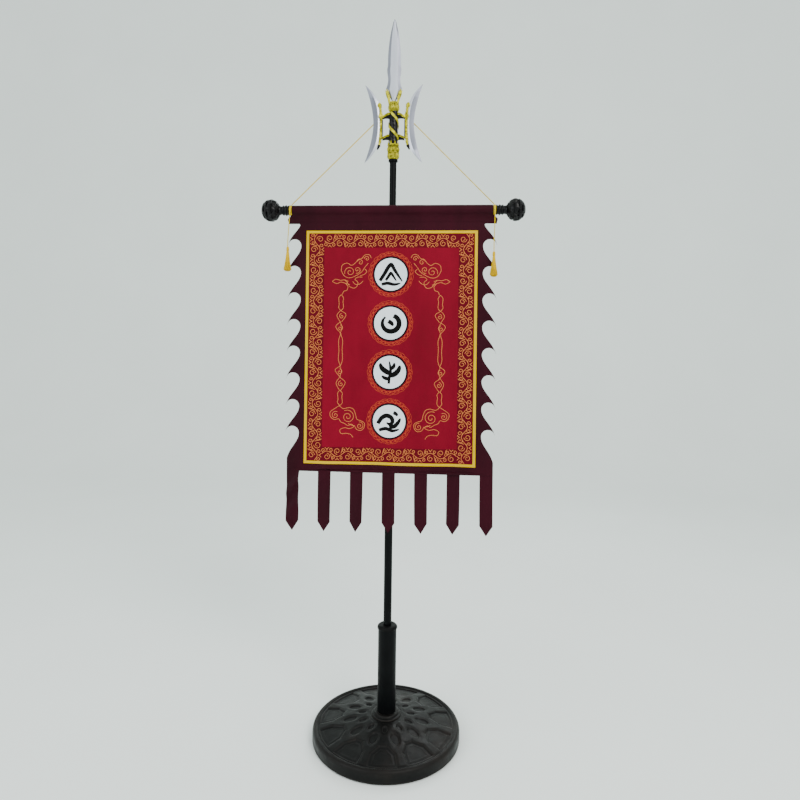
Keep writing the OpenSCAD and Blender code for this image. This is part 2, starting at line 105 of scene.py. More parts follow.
def material(name, build):
    """A node material: build(tree, shader) sets the shader up and links what varies."""
    mat = bpy.data.materials.new(name)
    mat.use_nodes = True
    tree = mat.node_tree
    build(tree, tree.nodes["Principled BSDF"])
    return mat


def node(tree, kind, **settings):
    made = tree.nodes.new(kind)
    for key, value in settings.items():
        if key.startswith("in_"):
            made.inputs[key[3:].replace("_", " ")].default_value = value
        else:
            setattr(made, key, value)
    return made


def coords(tree, stretch=(1, 1, 1)):
    """The piece's own coordinates in metres, stretched."""
    source = node(tree, "ShaderNodeTexCoord")
    mapping = node(tree, "ShaderNodeMapping")
    mapping.inputs["Scale"].default_value = stretch
    tree.links.new(source.outputs["Object"], mapping.inputs["Vector"])
    return mapping.outputs["Vector"]


def set_inputs(made, **values):
    """Sets plain inputs of a node; an underscore stands for a space in an input's name."""
    for key, value in values.items():
        made.inputs[key.replace("_", " ")].default_value = value


def noise_at(tree, where, scale, detail=3, rough=0.55):
    made = node(tree, "ShaderNodeTexNoise", in_Scale=scale, in_Detail=detail, in_Roughness=rough)
    tree.links.new(where, made.inputs["Vector"])
    return made.outputs["Fac"]


def ramp(tree, value, stops):
    """A colour ramp with stops of (position, colour)."""
    made = node(tree, "ShaderNodeValToRGB")
    elements = made.color_ramp.elements
    elements[0].position, elements[0].color = stops[0][0], (*stops[0][1], 1)
    elements[1].position, elements[1].color = stops[-1][0], (*stops[-1][1], 1)
    for position, colour in stops[1:-1]:
        elements.new(position).color = (*colour, 1)
    tree.links.new(value, made.inputs["Fac"])
    return made.outputs["Color"]


def remap(tree, value, start, end, low=0.0, high=1.0):
    """Maps a value in start to end to low to high. Noise mostly lies in 0.3 to 0.7."""
    made = node(tree, "ShaderNodeMapRange", in_From_Min=start, in_From_Max=end, in_To_Min=low, in_To_Max=high)
    tree.links.new(value, made.inputs["Value"])
    return made.outputs["Result"]


def mix(tree, amount, first, second):
    made = node(tree, "ShaderNodeMix", data_type="RGBA")
    for value, socket in ((amount, 0), (first, 6), (second, 7)):
        if isinstance(value, tuple):
            made.inputs[socket].default_value = (*value, 1)
        elif isinstance(value, (int, float)):
            made.inputs[socket].default_value = value
        else:
            tree.links.new(value, made.inputs[socket])
    return made.outputs[2]


def add_bump(tree, shader, height, strength, distance, before=None):
    bump = node(tree, "ShaderNodeBump")
    bump.inputs["Strength"].default_value = strength
    bump.inputs["Distance"].default_value = distance
    tree.links.new(height, bump.inputs["Height"])
    if before is not None:
        tree.links.new(before, bump.inputs["Normal"])
    tree.links.new(bump.outputs["Normal"], shader.inputs["Normal"])
    return bump.outputs["Normal"]


def compare(tree, operation, first, second=0.0):
    """A math node of two inputs, each a socket or a number."""
    made = node(tree, "ShaderNodeMath", operation=operation)
    for slot, value in enumerate((first, second)):
        if hasattr(value, "is_linked"):
            tree.links.new(value, made.inputs[slot])
        else:
            made.inputs[slot].default_value = value
    return made.outputs[0]


def weave(tree, pitch):
    """Height of a plain weave in the cloth's own plane: warp along Z over weft along X."""
    where = coords(tree)
    heights = []
    for axis in ("X", "Z"):
        wave = node(tree, "ShaderNodeTexWave", bands_direction=axis, in_Scale=0.314 / pitch,
                    in_Distortion=0.6, in_Detail=1.0)
        tree.links.new(where, wave.inputs["Vector"])
        heights.append(wave.outputs["Fac"])
    return compare(tree, "MAXIMUM", *heights)


def cloth_material(name, dark, light, pitch=0.0011, sheen=0.0, rough=(0.42, 0.6), shine=0.35, field=None):
    """Woven satin: colour that varies softly, fine weave, a sheen and slack creases.

    field is (half width, lowest z, highest z) in metres; the cloth is printed darker outside it."""
    def build(tree, shader):
        where = coords(tree, (1, 1, 0.45))
        tone = noise_at(tree, where, 9, 4)
        paint = ramp(tree, tone, [(0.32, dark), (0.7, light)])
        if field:
            apart = node(tree, "ShaderNodeSeparateXYZ")
            tree.links.new(node(tree, "ShaderNodeTexCoord").outputs["Object"], apart.inputs[0])
            wide = compare(tree, "GREATER_THAN", compare(tree, "ABSOLUTE", apart.outputs["X"]), field[0])
            low = compare(tree, "LESS_THAN", apart.outputs["Z"], field[1])
            high = compare(tree, "GREATER_THAN", apart.outputs["Z"], field[2])
            outside = compare(tree, "MAXIMUM", wide, compare(tree, "MAXIMUM", low, high))
            paint = mix(tree, outside, paint, tuple(0.72 * c for c in dark))
        tree.links.new(paint, shader.inputs["Base Color"])
        tree.links.new(remap(tree, noise_at(tree, where, 26, 3), 0.3, 0.7, *rough),
                       shader.inputs["Roughness"])
        set_inputs(shader, Specular_IOR_Level=shine, Sheen_Weight=sheen, Sheen_Roughness=0.45)
        crease = add_bump(tree, shader, noise_at(tree, coords(tree, (1, 1, 0.6)), 14, 2), 0.35, 0.004)
        add_bump(tree, shader, weave(tree, pitch), 0.28, 0.00025, crease)
    return material(name, build)


def thread_material(name, dark, light, pitch, sheen=0.0):
    """Thread or twisted cord: strands that run aslant, with painted shade in the gaps between them."""
    def build(tree, shader):
        wave = node(tree, "ShaderNodeTexWave", bands_direction="DIAGONAL", in_Scale=0.314 / pitch,
                    in_Distortion=1.2)
        tree.links.new(coords(tree), wave.inputs["Vector"])
        # colour follows the bump's height: painted shade in the gaps between strands
        tree.links.new(
            ramp(tree, wave.outputs["Fac"], [(0.1, dark), (0.75, light)]), shader.inputs["Base Color"])
        set_inputs(shader, Roughness=0.5, Specular_IOR_Level=0.1, Sheen_Weight=sheen)
        add_bump(tree, shader, wave.outputs["Fac"], 0.6, 0.0004)
    return material(name, build)


def surface(name, stops, tone, rough, stretch=(1, 1, 1), shine=0.5, metallic=0.0, wear_and_hollow_shade=None, bumps=()):
    """Paint, metal, wood or stone whose colour, roughness and height all vary.

    stops colour a noise; tone is that noise's scale, detail and roughness. rough is one roughness, or a
    noise's scale and detail and the lowest and highest roughness. worn is (start, end, hollow, ridge):
    how pointed a hollow and a ridge are, and their colours, where None is the paint. Each bump is
    (noise, strength, distance)."""
    def build(tree, shader):
        where = coords(tree, stretch)
        paint = ramp(tree, noise_at(tree, where, *tone), stops)
        # a hollow colour is painted shade in the hollows; a ridge colour is wear on the ridges
        if wear_and_hollow_shade:
            start, end, hollow, ridge = wear_and_hollow_shade
            pointed = node(tree, "ShaderNodeNewGeometry").outputs["Pointiness"]
            paint = mix(tree, remap(tree, pointed, start, end), hollow or paint, ridge or paint)
        tree.links.new(paint, shader.inputs["Base Color"])
        set_inputs(shader, Specular_IOR_Level=shine, Metallic=metallic)
        if isinstance(rough, tuple):
            scale, detail, low, high = rough
            tree.links.new(remap(tree, noise_at(tree, where, scale, detail), 0.3, 0.7, low, high),
                           shader.inputs["Roughness"])
        else:
            set_inputs(shader, Roughness=rough)
        before = None
        for bump, strength, distance in bumps:
            before = add_bump(tree, shader, noise_at(tree, where, *bump), strength, distance, before)
    return material(name, build)


def lacquer(name, dark, light, rough, shine):
    """Paint or lacquer with orange peel, dust and rubbed patches."""
    return surface(name, [(0.4, dark), (0.72, light)], (18, 5, 0.62), (45, 4, *rough), shine=shine,
                   bumps=[((600, 2), 0.15, 0.0003)])


def metal(name, dark, light, rough, stretch=(1, 1, 1), metallic=1.0):
    """Metal or metallic paint with tarnish in patches and a fine grain along the stretch."""
    return surface(name, [(0.35, dark), (0.66, light)], (30, 4), (70, 3, *rough), stretch, metallic=metallic,
                   bumps=[((240, 3), 0.08, 0.0005)])


make_camera()
make_lights()

panel_low, panel_high = box_mm("red_panel")
PANEL_X, PANEL_LOW, PANEL_TOP = panel_high[0], panel_low[2], panel_high[2]
SIDE_BAND = 41
END_BAND = 37
BAND_GAP = 1.5
FIELD = ((PANEL_X - BAND_GAP - SIDE_BAND) * MM, (PANEL_LOW + BAND_GAP + END_BAND) * MM,
         (PANEL_TOP - BAND_GAP - END_BAND) * MM)

MAROON = cloth_material("maroon_satin", (0.0155, 0.0010, 0.0036), (0.031, 0.0018, 0.0068), sheen=0.02,
                        rough=(0.4, 0.6), shine=0.07)
RED = cloth_material("red_satin", (0.125, 0.0006, 0.0085), (0.185, 0.0012, 0.0135), sheen=0.02, shine=0.07,
                     field=FIELD)
PIPING = cloth_material("yellow_satin", (0.50, 0.315, 0.0), (0.62, 0.40, 0.0), pitch=0.0009, shine=0.05)
PATCH = cloth_material("white_patch", (0.60, 0.66, 0.72), (0.78, 0.83, 0.88), pitch=0.0009, sheen=0.1)
INK = cloth_material("black_ink", (0.0015, 0.0015, 0.0015), (0.004, 0.0038, 0.0038), shine=0.05)
LINE = thread_material("peach_thread", (0.45, 0.11, 0.022), (0.74, 0.27, 0.07), 0.0012, sheen=0.02)
HALO = thread_material("vermilion_thread", (0.34, 0.022, 0.008), (0.52, 0.07, 0.018), 0.0012, sheen=0.02)
CORD = thread_material("pale_yellow_cord", (0.42, 0.29, 0.0), (0.74, 0.54, 0.0), 0.0022)
SILK = thread_material("golden_silk", (0.42, 0.24, 0.0), (0.80, 0.53, 0.0), 0.0014)
# gold paint on cast resin, with painted shade, a dark green-brown, in the hollows
GILT = surface(
    "gilt_paint", [(0.34, (0.16, 0.15, 0.003)), (0.52, (0.55, 0.49, 0.015)), (0.74, (0.80, 0.74, 0.05))],
    (120, 4, 0.6), (90, 3, 0.28, 0.5), shine=0.2, metallic=0.5,
    wear_and_hollow_shade=(0.47, 0.53, (0.022, 0.022, 0.004), None), bumps=[((420, 3), 0.35, 0.0006)])
# black paint on a sandy casting, brown where it is rubbed
CAST = surface(
    "cast_black_paint",
    [(0.3, (0.0016, 0.0017, 0.0018)), (0.55, (0.0034, 0.0032, 0.0030)), (0.78, (0.011, 0.007, 0.0055))],
    (9, 6, 0.65), (30, 5, 0.3, 0.52), shine=0.13, wear_and_hollow_shade=(0.5, 0.58, None, (0.020, 0.016, 0.014)),
    bumps=[((260, 4), 0.4, 0.0008), ((40, 3), 0.3, 0.0015)])
POLE = lacquer("pole_paint", (0.0012, 0.0015, 0.0018), (0.0025, 0.003, 0.0034), (0.3, 0.48), 0.07)
PLASTIC = lacquer("black_plastic", (0.002, 0.002, 0.002), (0.004, 0.004, 0.004), (0.4, 0.55), 0.08)
GLOSS = lacquer("black_lacquer", (0.0012, 0.0011, 0.0014), (0.003, 0.0024, 0.003), (0.2, 0.34), 0.16)
RUBBER = lacquer("foot_rubber", (0.01, 0.01, 0.01), (0.02, 0.02, 0.02), (0.7, 0.85), 0.1)
NYLON = lacquer("natural_nylon", (0.58, 0.55, 0.46), (0.7, 0.67, 0.58), (0.35, 0.5), 0.3)
SILVER = metal("blade_silver", (0.50, 0.52, 0.60), (0.62, 0.64, 0.72), (0.3, 0.42), (1, 1, 0.1), 0.55)
# a darker copy of the blade silver: painted shade for chosen bevel faces
BEVEL_SHADE = metal("blade_bevel", (0.15, 0.16, 0.195), (0.22, 0.23, 0.275), (0.3, 0.42), (1, 1, 0.1), 0.55)
ZINC = metal("zinc_steel", (0.42, 0.43, 0.44), (0.6, 0.61, 0.62), (0.3, 0.45))
WOOD = surface("stained_wood", [(0.35, (0.012, 0.006, 0.004)), (0.65, (0.05, 0.026, 0.014))], (160, 5), 0.5,
               (0.08, 1, 1), bumps=[((160, 5), 0.3, 0.0006)])
CONCRETE = surface("concrete", [(0.3, (0.25, 0.24, 0.22)), (0.7, (0.48, 0.46, 0.43))], (90, 6, 0.7), 0.9,
                   bumps=[((90, 6, 0.7), 0.5, 0.002)])
STAGE = surface("stage_paper", [(0.3, (0.8924, 0.93605, 0.91665)), (0.7, (0.92, 0.965, 0.945))], (1.3, 2),
                0.85, shine=0.15)


# ---------------------------------------------------------------- mesh helpers

def piece(name, shape, body, mat, replaces=(), sharp=35):
    """A mesh piece from (vertices in millimetres, faces), riding on a body."""
    verts, faces = shape
    mesh = bpy.data.meshes.new(name)
    mesh.from_pydata([tuple(c * MM for c in v) for v in verts], [], faces)
    mesh.validate()
    mesh.polygons.foreach_set("use_smooth", [True] * len(mesh.polygons))
    mesh.set_sharp_from_angle(angle=math.radians(sharp))
    mesh.materials.append(mat)
    obj = bpy.data.objects.new(name, mesh)
    bpy.context.scene.collection.objects.link(obj)
    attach(obj, body)
    if replaces:
        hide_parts(*replaces)
    return obj


def joined(shapes):
    verts, faces = [], []
    for more, their_faces in shapes:
        start = len(verts)
        verts.extend(more)
        faces.extend([[i + start for i in f] for f in their_faces])
    return verts, faces


def loft(rings, loop=False):
    """Joins rings of points, each with the same count, into a closed bar with ends, or into a loop."""
    count, start = len(rings[0]), (len(rings) - 1) * len(rings[0])
    verts = [p for ring in rings for p in ring]
    faces = []
    for i in range(len(rings) - 1):
        for j in range(count):
            k = (j + 1) % count
            faces.append([i * count + j, i * count + k, (i + 1) * count + k, (i + 1) * count + j])
    if loop:
        faces += [[start + j, start + (j + 1) % count, (j + 1) % count, j] for j in range(count)]
    else:
        faces += [list(range(count - 1, -1, -1)), [start + j for j in range(count)]]
    return verts, faces


def outward(shape):
    """Turns the faces of a closed shape outwards."""
    verts, faces = shape
    volume = 0.0
    for face in faces:
        a = Vector(verts[face[0]])
        for i in range(1, len(face) - 1):
            volume += a.dot(Vector(verts[face[i]]).cross(Vector(verts[face[i + 1]])))
    return shape if volume > 0 else (verts, [f[::-1] for f in faces])


def smooth_path(points, steps):
    """A Catmull-Rom curve through the points, with steps points for each stretch."""
    points = [Vector(p) for p in points]
    out = []
    for i in range(len(points) - 1):
        a, b = points[max(i - 1, 0)], points[i]
        c, d = points[i + 1], points[min(i + 2, len(points) - 1)]
        for s in range(steps):
            t = s / steps
            out.append(0.5 * (2 * b + (c - a) * t + (2 * a - 5 * b + 4 * c - d) * t * t
                              + (3 * b - a - 3 * c + d) * t ** 3))
    return out + [points[-1]]


def tube(path, radius, sides=12, side=(0, 1, 0), flat=1.0):
    """A round or flattened bar along a path; radius is a number or a function of 0 to 1."""
    path = [Vector(p[:3]) for p in path]
    last = len(path) - 1
    rings = []
    for i, point in enumerate(path):
        along = (path[min(i + 1, last)] - path[max(i - 1, 0)]).normalized()
        u = along.cross(Vector(side)).normalized()
        v = u.cross(along)
        r = radius(i / last) if callable(radius) else radius
        rings.append([
            point + r * (math.cos(TAU * j / sides) * u + flat * math.sin(TAU * j / sides) * v)
            for j in range(sides)])
    return outward(loft(rings))


def polar(r, angle):
    return r * math.cos(angle), r * math.sin(angle)


def circle(x, y, r, count):
    """Points round a circle in a plane."""
    return [(x + r * math.cos(TAU * i / count), y + r * math.sin(TAU * i / count)) for i in range(count)]


def lathe_faces(segments, count):
    """Faces of a closed outline of count points turned through a full circle."""
    faces = []
    for j in range(segments):
        k = (j + 1) % segments
        for i in range(count):
            m = (i + 1) % count
            faces.append([j * count + i, k * count + i, k * count + m, j * count + m])
    return faces


def revolve(profile, segments=64, warp=None):
    """Turns a closed outline of (radius, height) round Z; warp(r, angle, z) moves the radius."""
    rings = []
    for j in range(segments):
        angle = TAU * j / segments
        rings.append([(*polar(warp(r, angle, z) if warp else r, angle), z) for r, z in profile])
    return outward(([p for ring in rings for p in ring], lathe_faces(segments, len(profile))))


def solid_of_revolution(profile, segments=64, warp=None):
    """Turns an open outline, from the axis to the axis, into a closed solid."""
    inner = profile[1:-1]
    verts = [(0, 0, profile[0][1]), (0, 0, profile[-1][1])]
    for j in range(segments):
        angle = TAU * j / segments
        for r, z in inner:
            verts.append((*polar(warp(r, angle, z) if warp else r, angle), z))
    count, faces = len(inner), []
    for j in range(segments):
        k = (j + 1) % segments
        a, b = 2 + j * count, 2 + k * count
        faces.append([0, b, a])
        faces.append([1, a + count - 1, b + count - 1])
        for i in range(count - 1):
            faces.append([a + i, b + i, b + i + 1, a + i + 1])
    return outward((verts, faces))


def resample(profile, step):
    """Adds points along an outline so that none are further apart than step."""
    out = []
    for (r0, z0), (r1, z1) in zip(profile, profile[1:]):
        pieces = max(1, math.ceil(math.hypot(r1 - r0, z1 - z0) / step))
        out.extend((r0 + (r1 - r0) * i / pieces, z0 + (z1 - z0) * i / pieces) for i in range(pieces))
    return out + [profile[-1]]


def moved(shape, change):
    verts, faces = shape
    return [change(Vector(v)) for v in verts], faces


def mirrored(shape):
    verts, faces = shape
    return [(-v[0], v[1], v[2]) for v in verts], [f[::-1] for f in faces]


def smoothstep(low, high, value):
    t = min(1.0, max(0.0, (value - low) / (high - low)))
    return t * t * (3 - 2 * t)


# ---------------------------------------------------------------- places, from the CAD part

bar_low, bar_high = box_mm("cross_bar")
BAR_Y = (bar_low[1] + bar_high[1]) / 2
BAR_Z = (bar_low[2] + bar_high[2]) / 2
BAR_HALF = bar_high[0]
BAR_R = (bar_high[2] - bar_low[2]) / 2
column_low, column_high = box_mm("head_column")
COLUMN_Z, COLUMN_TOP = column_low[2], column_high[2]
KNOT_R = BAR_R + 0.6
KNOT_X = BAR_HALF + 4
CORD_R = 1.5
TAIL_R = 1.2
CORD_Z = COLUMN_Z + 75
THREADS = 190
GOLDEN_ANGLE = 2.39996


# ---------------------------------------------------------------- cords and tassels

def mirror_points(half):
    return [(-x, y, z) for x, y, z in half[:0:-1]] + half


def twisted(path, radius, strands=3, turn=9.0, sides=10):
    """A cord of twisted strands round a path: turn is the length of one twist."""
    path = [Vector(p) for p in path]
    lengths = [0.0]
    for a, b in zip(path, path[1:]):
        lengths.append(lengths[-1] + (b - a).length)
    shapes = []
    for s in range(strands):
        rail = []
        last = len(path) - 1
        for i, point in enumerate(path):
            along = (path[min(i + 1, last)] - path[max(i - 1, 0)]).normalized()
            u = along.cross(Vector((0, 1, 0.2))).normalized()
            v = u.cross(along)
            angle = TAU * (lengths[i] / turn + s / strands)
            rail.append(point + 0.45 * radius * (math.cos(angle) * u + math.sin(angle) * v))
        shapes.append(tube(rail, 0.56 * radius, sides, (0, 1, 0.2)))
    return joined(shapes)


def refine(points, step):
    """Points no further apart than step along straight stretches between points."""
    out = []
    for a, b in zip(points, points[1:]):
        a, b = Vector(a), Vector(b)
        count = max(1, math.ceil((b - a).length / step))
        out.extend(a + (b - a) * i / count for i in range(count))
    return out + [Vector(points[-1])]


def make_hanging_cord():
    """The cord from the left knot, behind the head's blades and column, to the right knot."""
    half = [
        (0, 19.5, CORD_Z + 6), (14, 18.5, CORD_Z + 6), (27, 14, CORD_Z + 5),
        (38, 11.5, CORD_Z + 2.5), (47, 11.8, CORD_Z - 3.5), (58.5, 12, CORD_Z - 14.5)
    ]
    foot = (KNOT_X - 2, BAR_Y, BAR_Z + KNOT_R + CORD_R + 1.2)
    curve = [tuple(p) for p in smooth_path(half, 4)]
    path = refine(mirror_points(curve + [foot]), 2.2)
    cord = piece("hanging_cord_twisted", twisted(path, CORD_R), "hanger", CORD,
                 ["hanging_cord"])


def make_knots():
    """Two turns of cord round each finial's groove, with a half hitch behind them."""
    shapes = []
    for sign in (-1, 1):
        for turn in range(2):
            x = sign * (KNOT_X - 2 + 3.1 * turn)
            loop = [(x, y, z) for y, z in circle(BAR_Y, BAR_Z, KNOT_R, 48)]
            shapes.append(ring_tube(loop, CORD_R, 10, (1, 0, 0)))
        hitch = [(sign * (KNOT_X + x), BAR_Y + y, BAR_Z + z) for x, y, z in (
            (-3.4, 8, 13.2), (-0.5, 11, 12.2), (2.5, 12.5, 9.4), (1.8, 14.6, 4.5), (0.4, 15.3, 1.5))]
        shapes.append(tube(smooth_path(hitch, 6), CORD_R * 0.95, 10, (1, 0, 0.2)))
    piece("cord_hitches", joined(shapes), "hanger", CORD, ["cord_knots"])


def ring_tube(loop, radius, sides, side):
    """A bar along a closed loop."""
    loop = [Vector(p) for p in loop]
    count = len(loop)
    rings = []
    for i, point in enumerate(loop):
        along = (loop[(i + 1) % count] - loop[i - 1]).normalized()
        u = along.cross(Vector(side)).normalized()
        v = u.cross(along)
        rings.append([point + radius * (math.cos(TAU * j / sides) * u + math.sin(TAU * j / sides) * v)
                      for j in range(sides)])
    return outward(loft(rings, loop=True))


def bead(centre, r, squash=1.0):
    """A small ball, stretched along Z by squash."""
    profile = [(0, -r)] + [polar(r, math.radians(a)) for a in range(-60, 61, 30)] + [(0, r)]
    shape = solid_of_revolution(profile, 12)
    return moved(shape, lambda v: Vector(centre) + Vector((v.x, v.y, v.z * squash)))


def make_tassel(side, seed):
    """One free end of the cord and its tassel: a bound head over a skirt of threads."""
    low, high = box_mm(f"tassel_{side}")
    x, y, top = (low[0] + high[0]) / 2, (low[1] + high[1]) / 2, high[2]
    length, radius = high[2] - low[2], (high[0] - low[0]) / 2
    start = -KNOT_X if side == "left" else KNOT_X
    route = [(start, y, BAR_Z), (start, y, BAR_Z - 12), ((start + x) / 2, y, BAR_Z - 50),
             (x, y, BAR_Z - 85), (x, y, top)]
    path = refine([tuple(p) for p in smooth_path(route, 5)] + [(x, y, top - 14)], 1.6)
    body = f"{side}_tassel"
    cord = piece(f"tassel_cord_{side}_twisted", twisted(path, TAIL_R, turn=7.5), body,
                 CORD, [f"tassel_cord_{side}"])

    room = BAR_Y - y - KNOT_R - CORD_R
    stop = piece(f"tassel_{side}_stop_knot", bead((start, y - 0.8, BAR_Z), min(2.6, room + 0.5), 1.1), body,
                 CORD)
    draw = random.Random(seed)
    shapes = []
    head = [(0, top), (1.5, top - 0.6), (2.9, top - 2.2), (3.5, top - 4.6), (3.2, top - 7.4),
            (2.4, top - 9.4), (0, top - 10)]
    ridge = lambda r, a, z: r * (1 + 0.09 * math.cos(14 * a))
    shapes.append(moved(solid_of_revolution(resample(head, 0.7), 56, ridge), lambda v: v + Vector((x, y, 0))))
    for turn in range(3):
        z = top - 8.2 - 1.3 * turn
        loop = [(loop_x, loop_y, z) for loop_x, loop_y in circle(x, y, 3.2, 28)]
        shapes.append(ring_tube(loop, 0.75, 8, (0, 0, 1)))
    for strand in range(THREADS):
        angle = strand * GOLDEN_ANGLE
        share = math.sqrt((strand + 0.5) / THREADS)
        end = (radius - 0.5) * share * draw.uniform(0.93, 1.0)
        drop = length * draw.uniform(0.965, 1.0) * (1 - 0.07 * share ** 3) - 0.4
        lean = draw.uniform(-0.16, 0.16)
        path_points = []
        for i in range(9):
            t = i / 8
            wide = 2.6 * share + (end - 2.6 * share) * (0.62 * t + 0.38 * t * t)
            a = angle + lean * t + 0.05 * math.sin(7 * t + strand)
            path_points.append((x + wide * math.cos(a), y + wide * math.sin(a),
                                top - 10.5 - (drop - 10.5) * t))
        shapes.append(tube(path_points, lambda t: 0.5 - 0.12 * t, 5, (0.3, 1, 0)))
    skirt = piece(f"tassel_{side}_threads", joined(shapes), body, SILK, [f"tassel_{side}"])


make_hanging_cord()
make_knots()
make_tassel("left", 11)
make_tassel("right", 12)


# ---------------------------------------------------------------- the cloth's outline and its hang

frame_low, frame_high = box_mm("gold_piping")
FRAME_X, FRAME_LOW, FRAME_TOP = frame_high[0], frame_low[2], frame_high[2]
streamer_low, streamer_high = box_mm("streamers")
HEM_X, HEM_Z, STREAMER_END = streamer_high[0], streamer_high[2], streamer_low[2]
patch_low, patch_high = box_mm("roundels")
PATCH_R = patch_high[0]
PATCH_TOP, PATCH_LOW = patch_high[2] - PATCH_R, patch_low[2] + PATCH_R
SEAM_Z = BAR_Z - 34
TOOTH_X = HEM_X + 4.5
TOOTH_PITCH = 73
TOOTH_COUNT = 8
FIRST_TIP_Z = SEAM_Z - 60
STREAMER_W = 35
STREAMER_POINT = 27
STREAMER_COUNT = 7


def hang(x, z):
    """How far the cloth stands in front of its flat plane, in millimetres, at a place on it."""
    drop = min(1.0, max(0.0, (SEAM_Z - z) / (SEAM_Z - HEM_Z)))
    slack = 0.25 + 0.75 * drop
    flutes = 2.3 * slack * math.sin(TAU * x / 232 + 0.9 * math.sin(z / 210) + 0.5)
    ripple = 0.9 * slack * math.sin(TAU * x / 97 + z / 160 + 1.9)
    wander = 2.2 * slack * noise.noise(Vector((x / 130, z / 210, 4.3)))
    crease = 0.8 * slack * noise.noise(Vector(((x + 0.5 * z) / 46, (z - 0.3 * x) / 150, 9.1)))
    curl = 3.0 * drop * (abs(x) / TOOTH_X) ** 4
    return smoothstep(0, 0.06, drop) * (flutes + ripple + wander + crease + curl) + 1.2 * drop


def on_cloth(x, z, lift=0.0):
    """The point of the hung cloth at flat place (x, z), lift millimetres in front of its middle."""
    return Vector((x, BAR_Y - hang(x, z) - lift, z))


def bezier(a, b, c, d, steps):
    points = []
    for s in range(1, steps + 1):
        t = s / steps
        u = 1 - t
        points.append(tuple(u ** 3 * p + 3 * u * u * t * q + 3 * u * t * t * r + t ** 3 * w
                            for p, q, r, w in zip(a, b, c, d)))
    return points


def tooth_edge(i):
    """One round notch under a tooth's tip, and the wave down to the next tip."""
    tip_z = FIRST_TIP_Z - i * TOOTH_PITCH
    mid_x, mid_z, r = TOOTH_X - 18.4, tip_z - 3.1, 18.3
    low = (TOOTH_X, tip_z - TOOTH_PITCH) if i < TOOTH_COUNT - 1 else (HEM_X, tip_z - 72)
    arc = [(mid_x + x, mid_z + z) for x, z in (polar(r, math.radians(a)) for a in range(10, 181, 10))]
    return arc + bezier((mid_x - r, mid_z), (TOOTH_X - 36.7, tip_z - 27),
                        (low[0] - 8, low[1] + 30), low, 14)


def right_edge():
    first = bezier((TOOTH_X - 34, SEAM_Z - 2), (TOOTH_X - 32, SEAM_Z - 20),
                   (TOOTH_X - 8, FIRST_TIP_Z + 30), (TOOTH_X, FIRST_TIP_Z), 14)
    points = [(TOOTH_X - 12, SEAM_Z + 3), (TOOTH_X - 28, SEAM_Z)] + first
    for i in range(TOOTH_COUNT):
        points.extend(tooth_edge(i))
    return points + [(HEM_X, HEM_Z - 1.5)]


def fill_outline(outline, step_x, step_z):
    """Triangles over an outline, with a grid of points inside it: 2-D points and faces."""
    xs, zs = [p[0] for p in outline], [p[1] for p in outline]
    inner = []
    low_x, low_z = min(xs), min(zs)
    for i in range(1, math.ceil((max(xs) - low_x) / step_x)):
        for j in range(1, math.ceil((max(zs) - low_z) / step_z)):
            p = (low_x + i * step_x + (0.5 * step_x if j % 2 else 0), low_z + j * step_z)
            if inside(p, outline) and far_from(p, outline, 0.45 * min(step_x, step_z)):
                inner.append(p)
    points = [Vector(p) for p in outline] + [Vector(p) for p in inner]
    found = geometry.delaunay_2d_cdt(points, [], [list(range(len(outline)))], 1, 1e-5)
    return [(v.x, v.y) for v in found[0]], [list(f) for f in found[2]]


def inside(p, outline):
    x, z = p
    hit = False
    for (x0, z0), (x1, z1) in zip(outline, outline[1:] + outline[:1]):
        if (z0 > z) != (z1 > z) and x < x0 + (z - z0) * (x1 - x0) / (z1 - z0):
            hit = not hit
    return hit


def far_from(p, outline, limit):
    return all((p[0] - x) ** 2 + (p[1] - z) ** 2 > limit * limit for x, z in outline)


def thicken(flat, faces, place, back, front):
    """A closed sheet between two lifts in front of the cloth's middle."""
    count = len(flat)
    verts = [place(x, z, front) for x, z in flat] + [place(x, z, back) for x, z in flat]
    uses = {}
    for face in faces:
        for a, b in zip(face, face[1:] + face[:1]):
            uses[(a, b)] = True
    rim = [(a, b) for a, b in uses if (b, a) not in uses]
    out = [list(f) for f in faces] + [[i + count for i in f[::-1]] for f in faces]
    out += [[b, a, a + count, b + count] for a, b in rim]
    return outward((verts, out))


def grid(low_x, high_x, low_z, high_z, step):
    """A flat grid of 2-D points and faces."""
    nx = max(1, round((high_x - low_x) / step))
    nz = max(1, round((high_z - low_z) / step))
    flat = [(low_x + (high_x - low_x) * i / nx, low_z + (high_z - low_z) * j / nz)
            for j in range(nz + 1) for i in range(nx + 1)]
    faces = [[j * (nx + 1) + i, j * (nx + 1) + i + 1, (j + 1) * (nx + 1) + i + 1, (j + 1) * (nx + 1) + i]
             for j in range(nz) for i in range(nx)]
    return flat, faces


GROUND_LIFT = 0.3
PANEL_LIFT = 0.8


def make_ground():
    """The maroon backing cloth with its wave-shaped teeth."""
    edge = right_edge()
    outline = edge + [(-x, z) for x, z in edge[::-1]]
    flat, faces = fill_outline(outline, 6.5, 7.5)
    ground = piece("banner_cloth", thicken(flat, faces, on_cloth, -GROUND_LIFT, GROUND_LIFT), "banner",
                   MAROON, ["banner_ground"])
    area = flat_area(flat, faces) * MM * MM


def flat_area(flat, faces):
    total = 0.0
    for face in faces:
        for i in range(1, len(face) - 1):
            (ax, az), (bx, bz), (cx, cz) = flat[face[0]], flat[face[i]], flat[face[i + 1]]
            total += abs((bx - ax) * (cz - az) - (cx - ax) * (bz - az)) / 2
    return total


def make_panel():
    flat, faces = grid(-PANEL_X - 3, PANEL_X + 3, PANEL_LOW - 3, PANEL_TOP + 3, 6)
    panel = piece("panel_cloth", thicken(flat, faces, on_cloth, GROUND_LIFT, PANEL_LIFT), "banner",
                  RED, ["red_panel"])


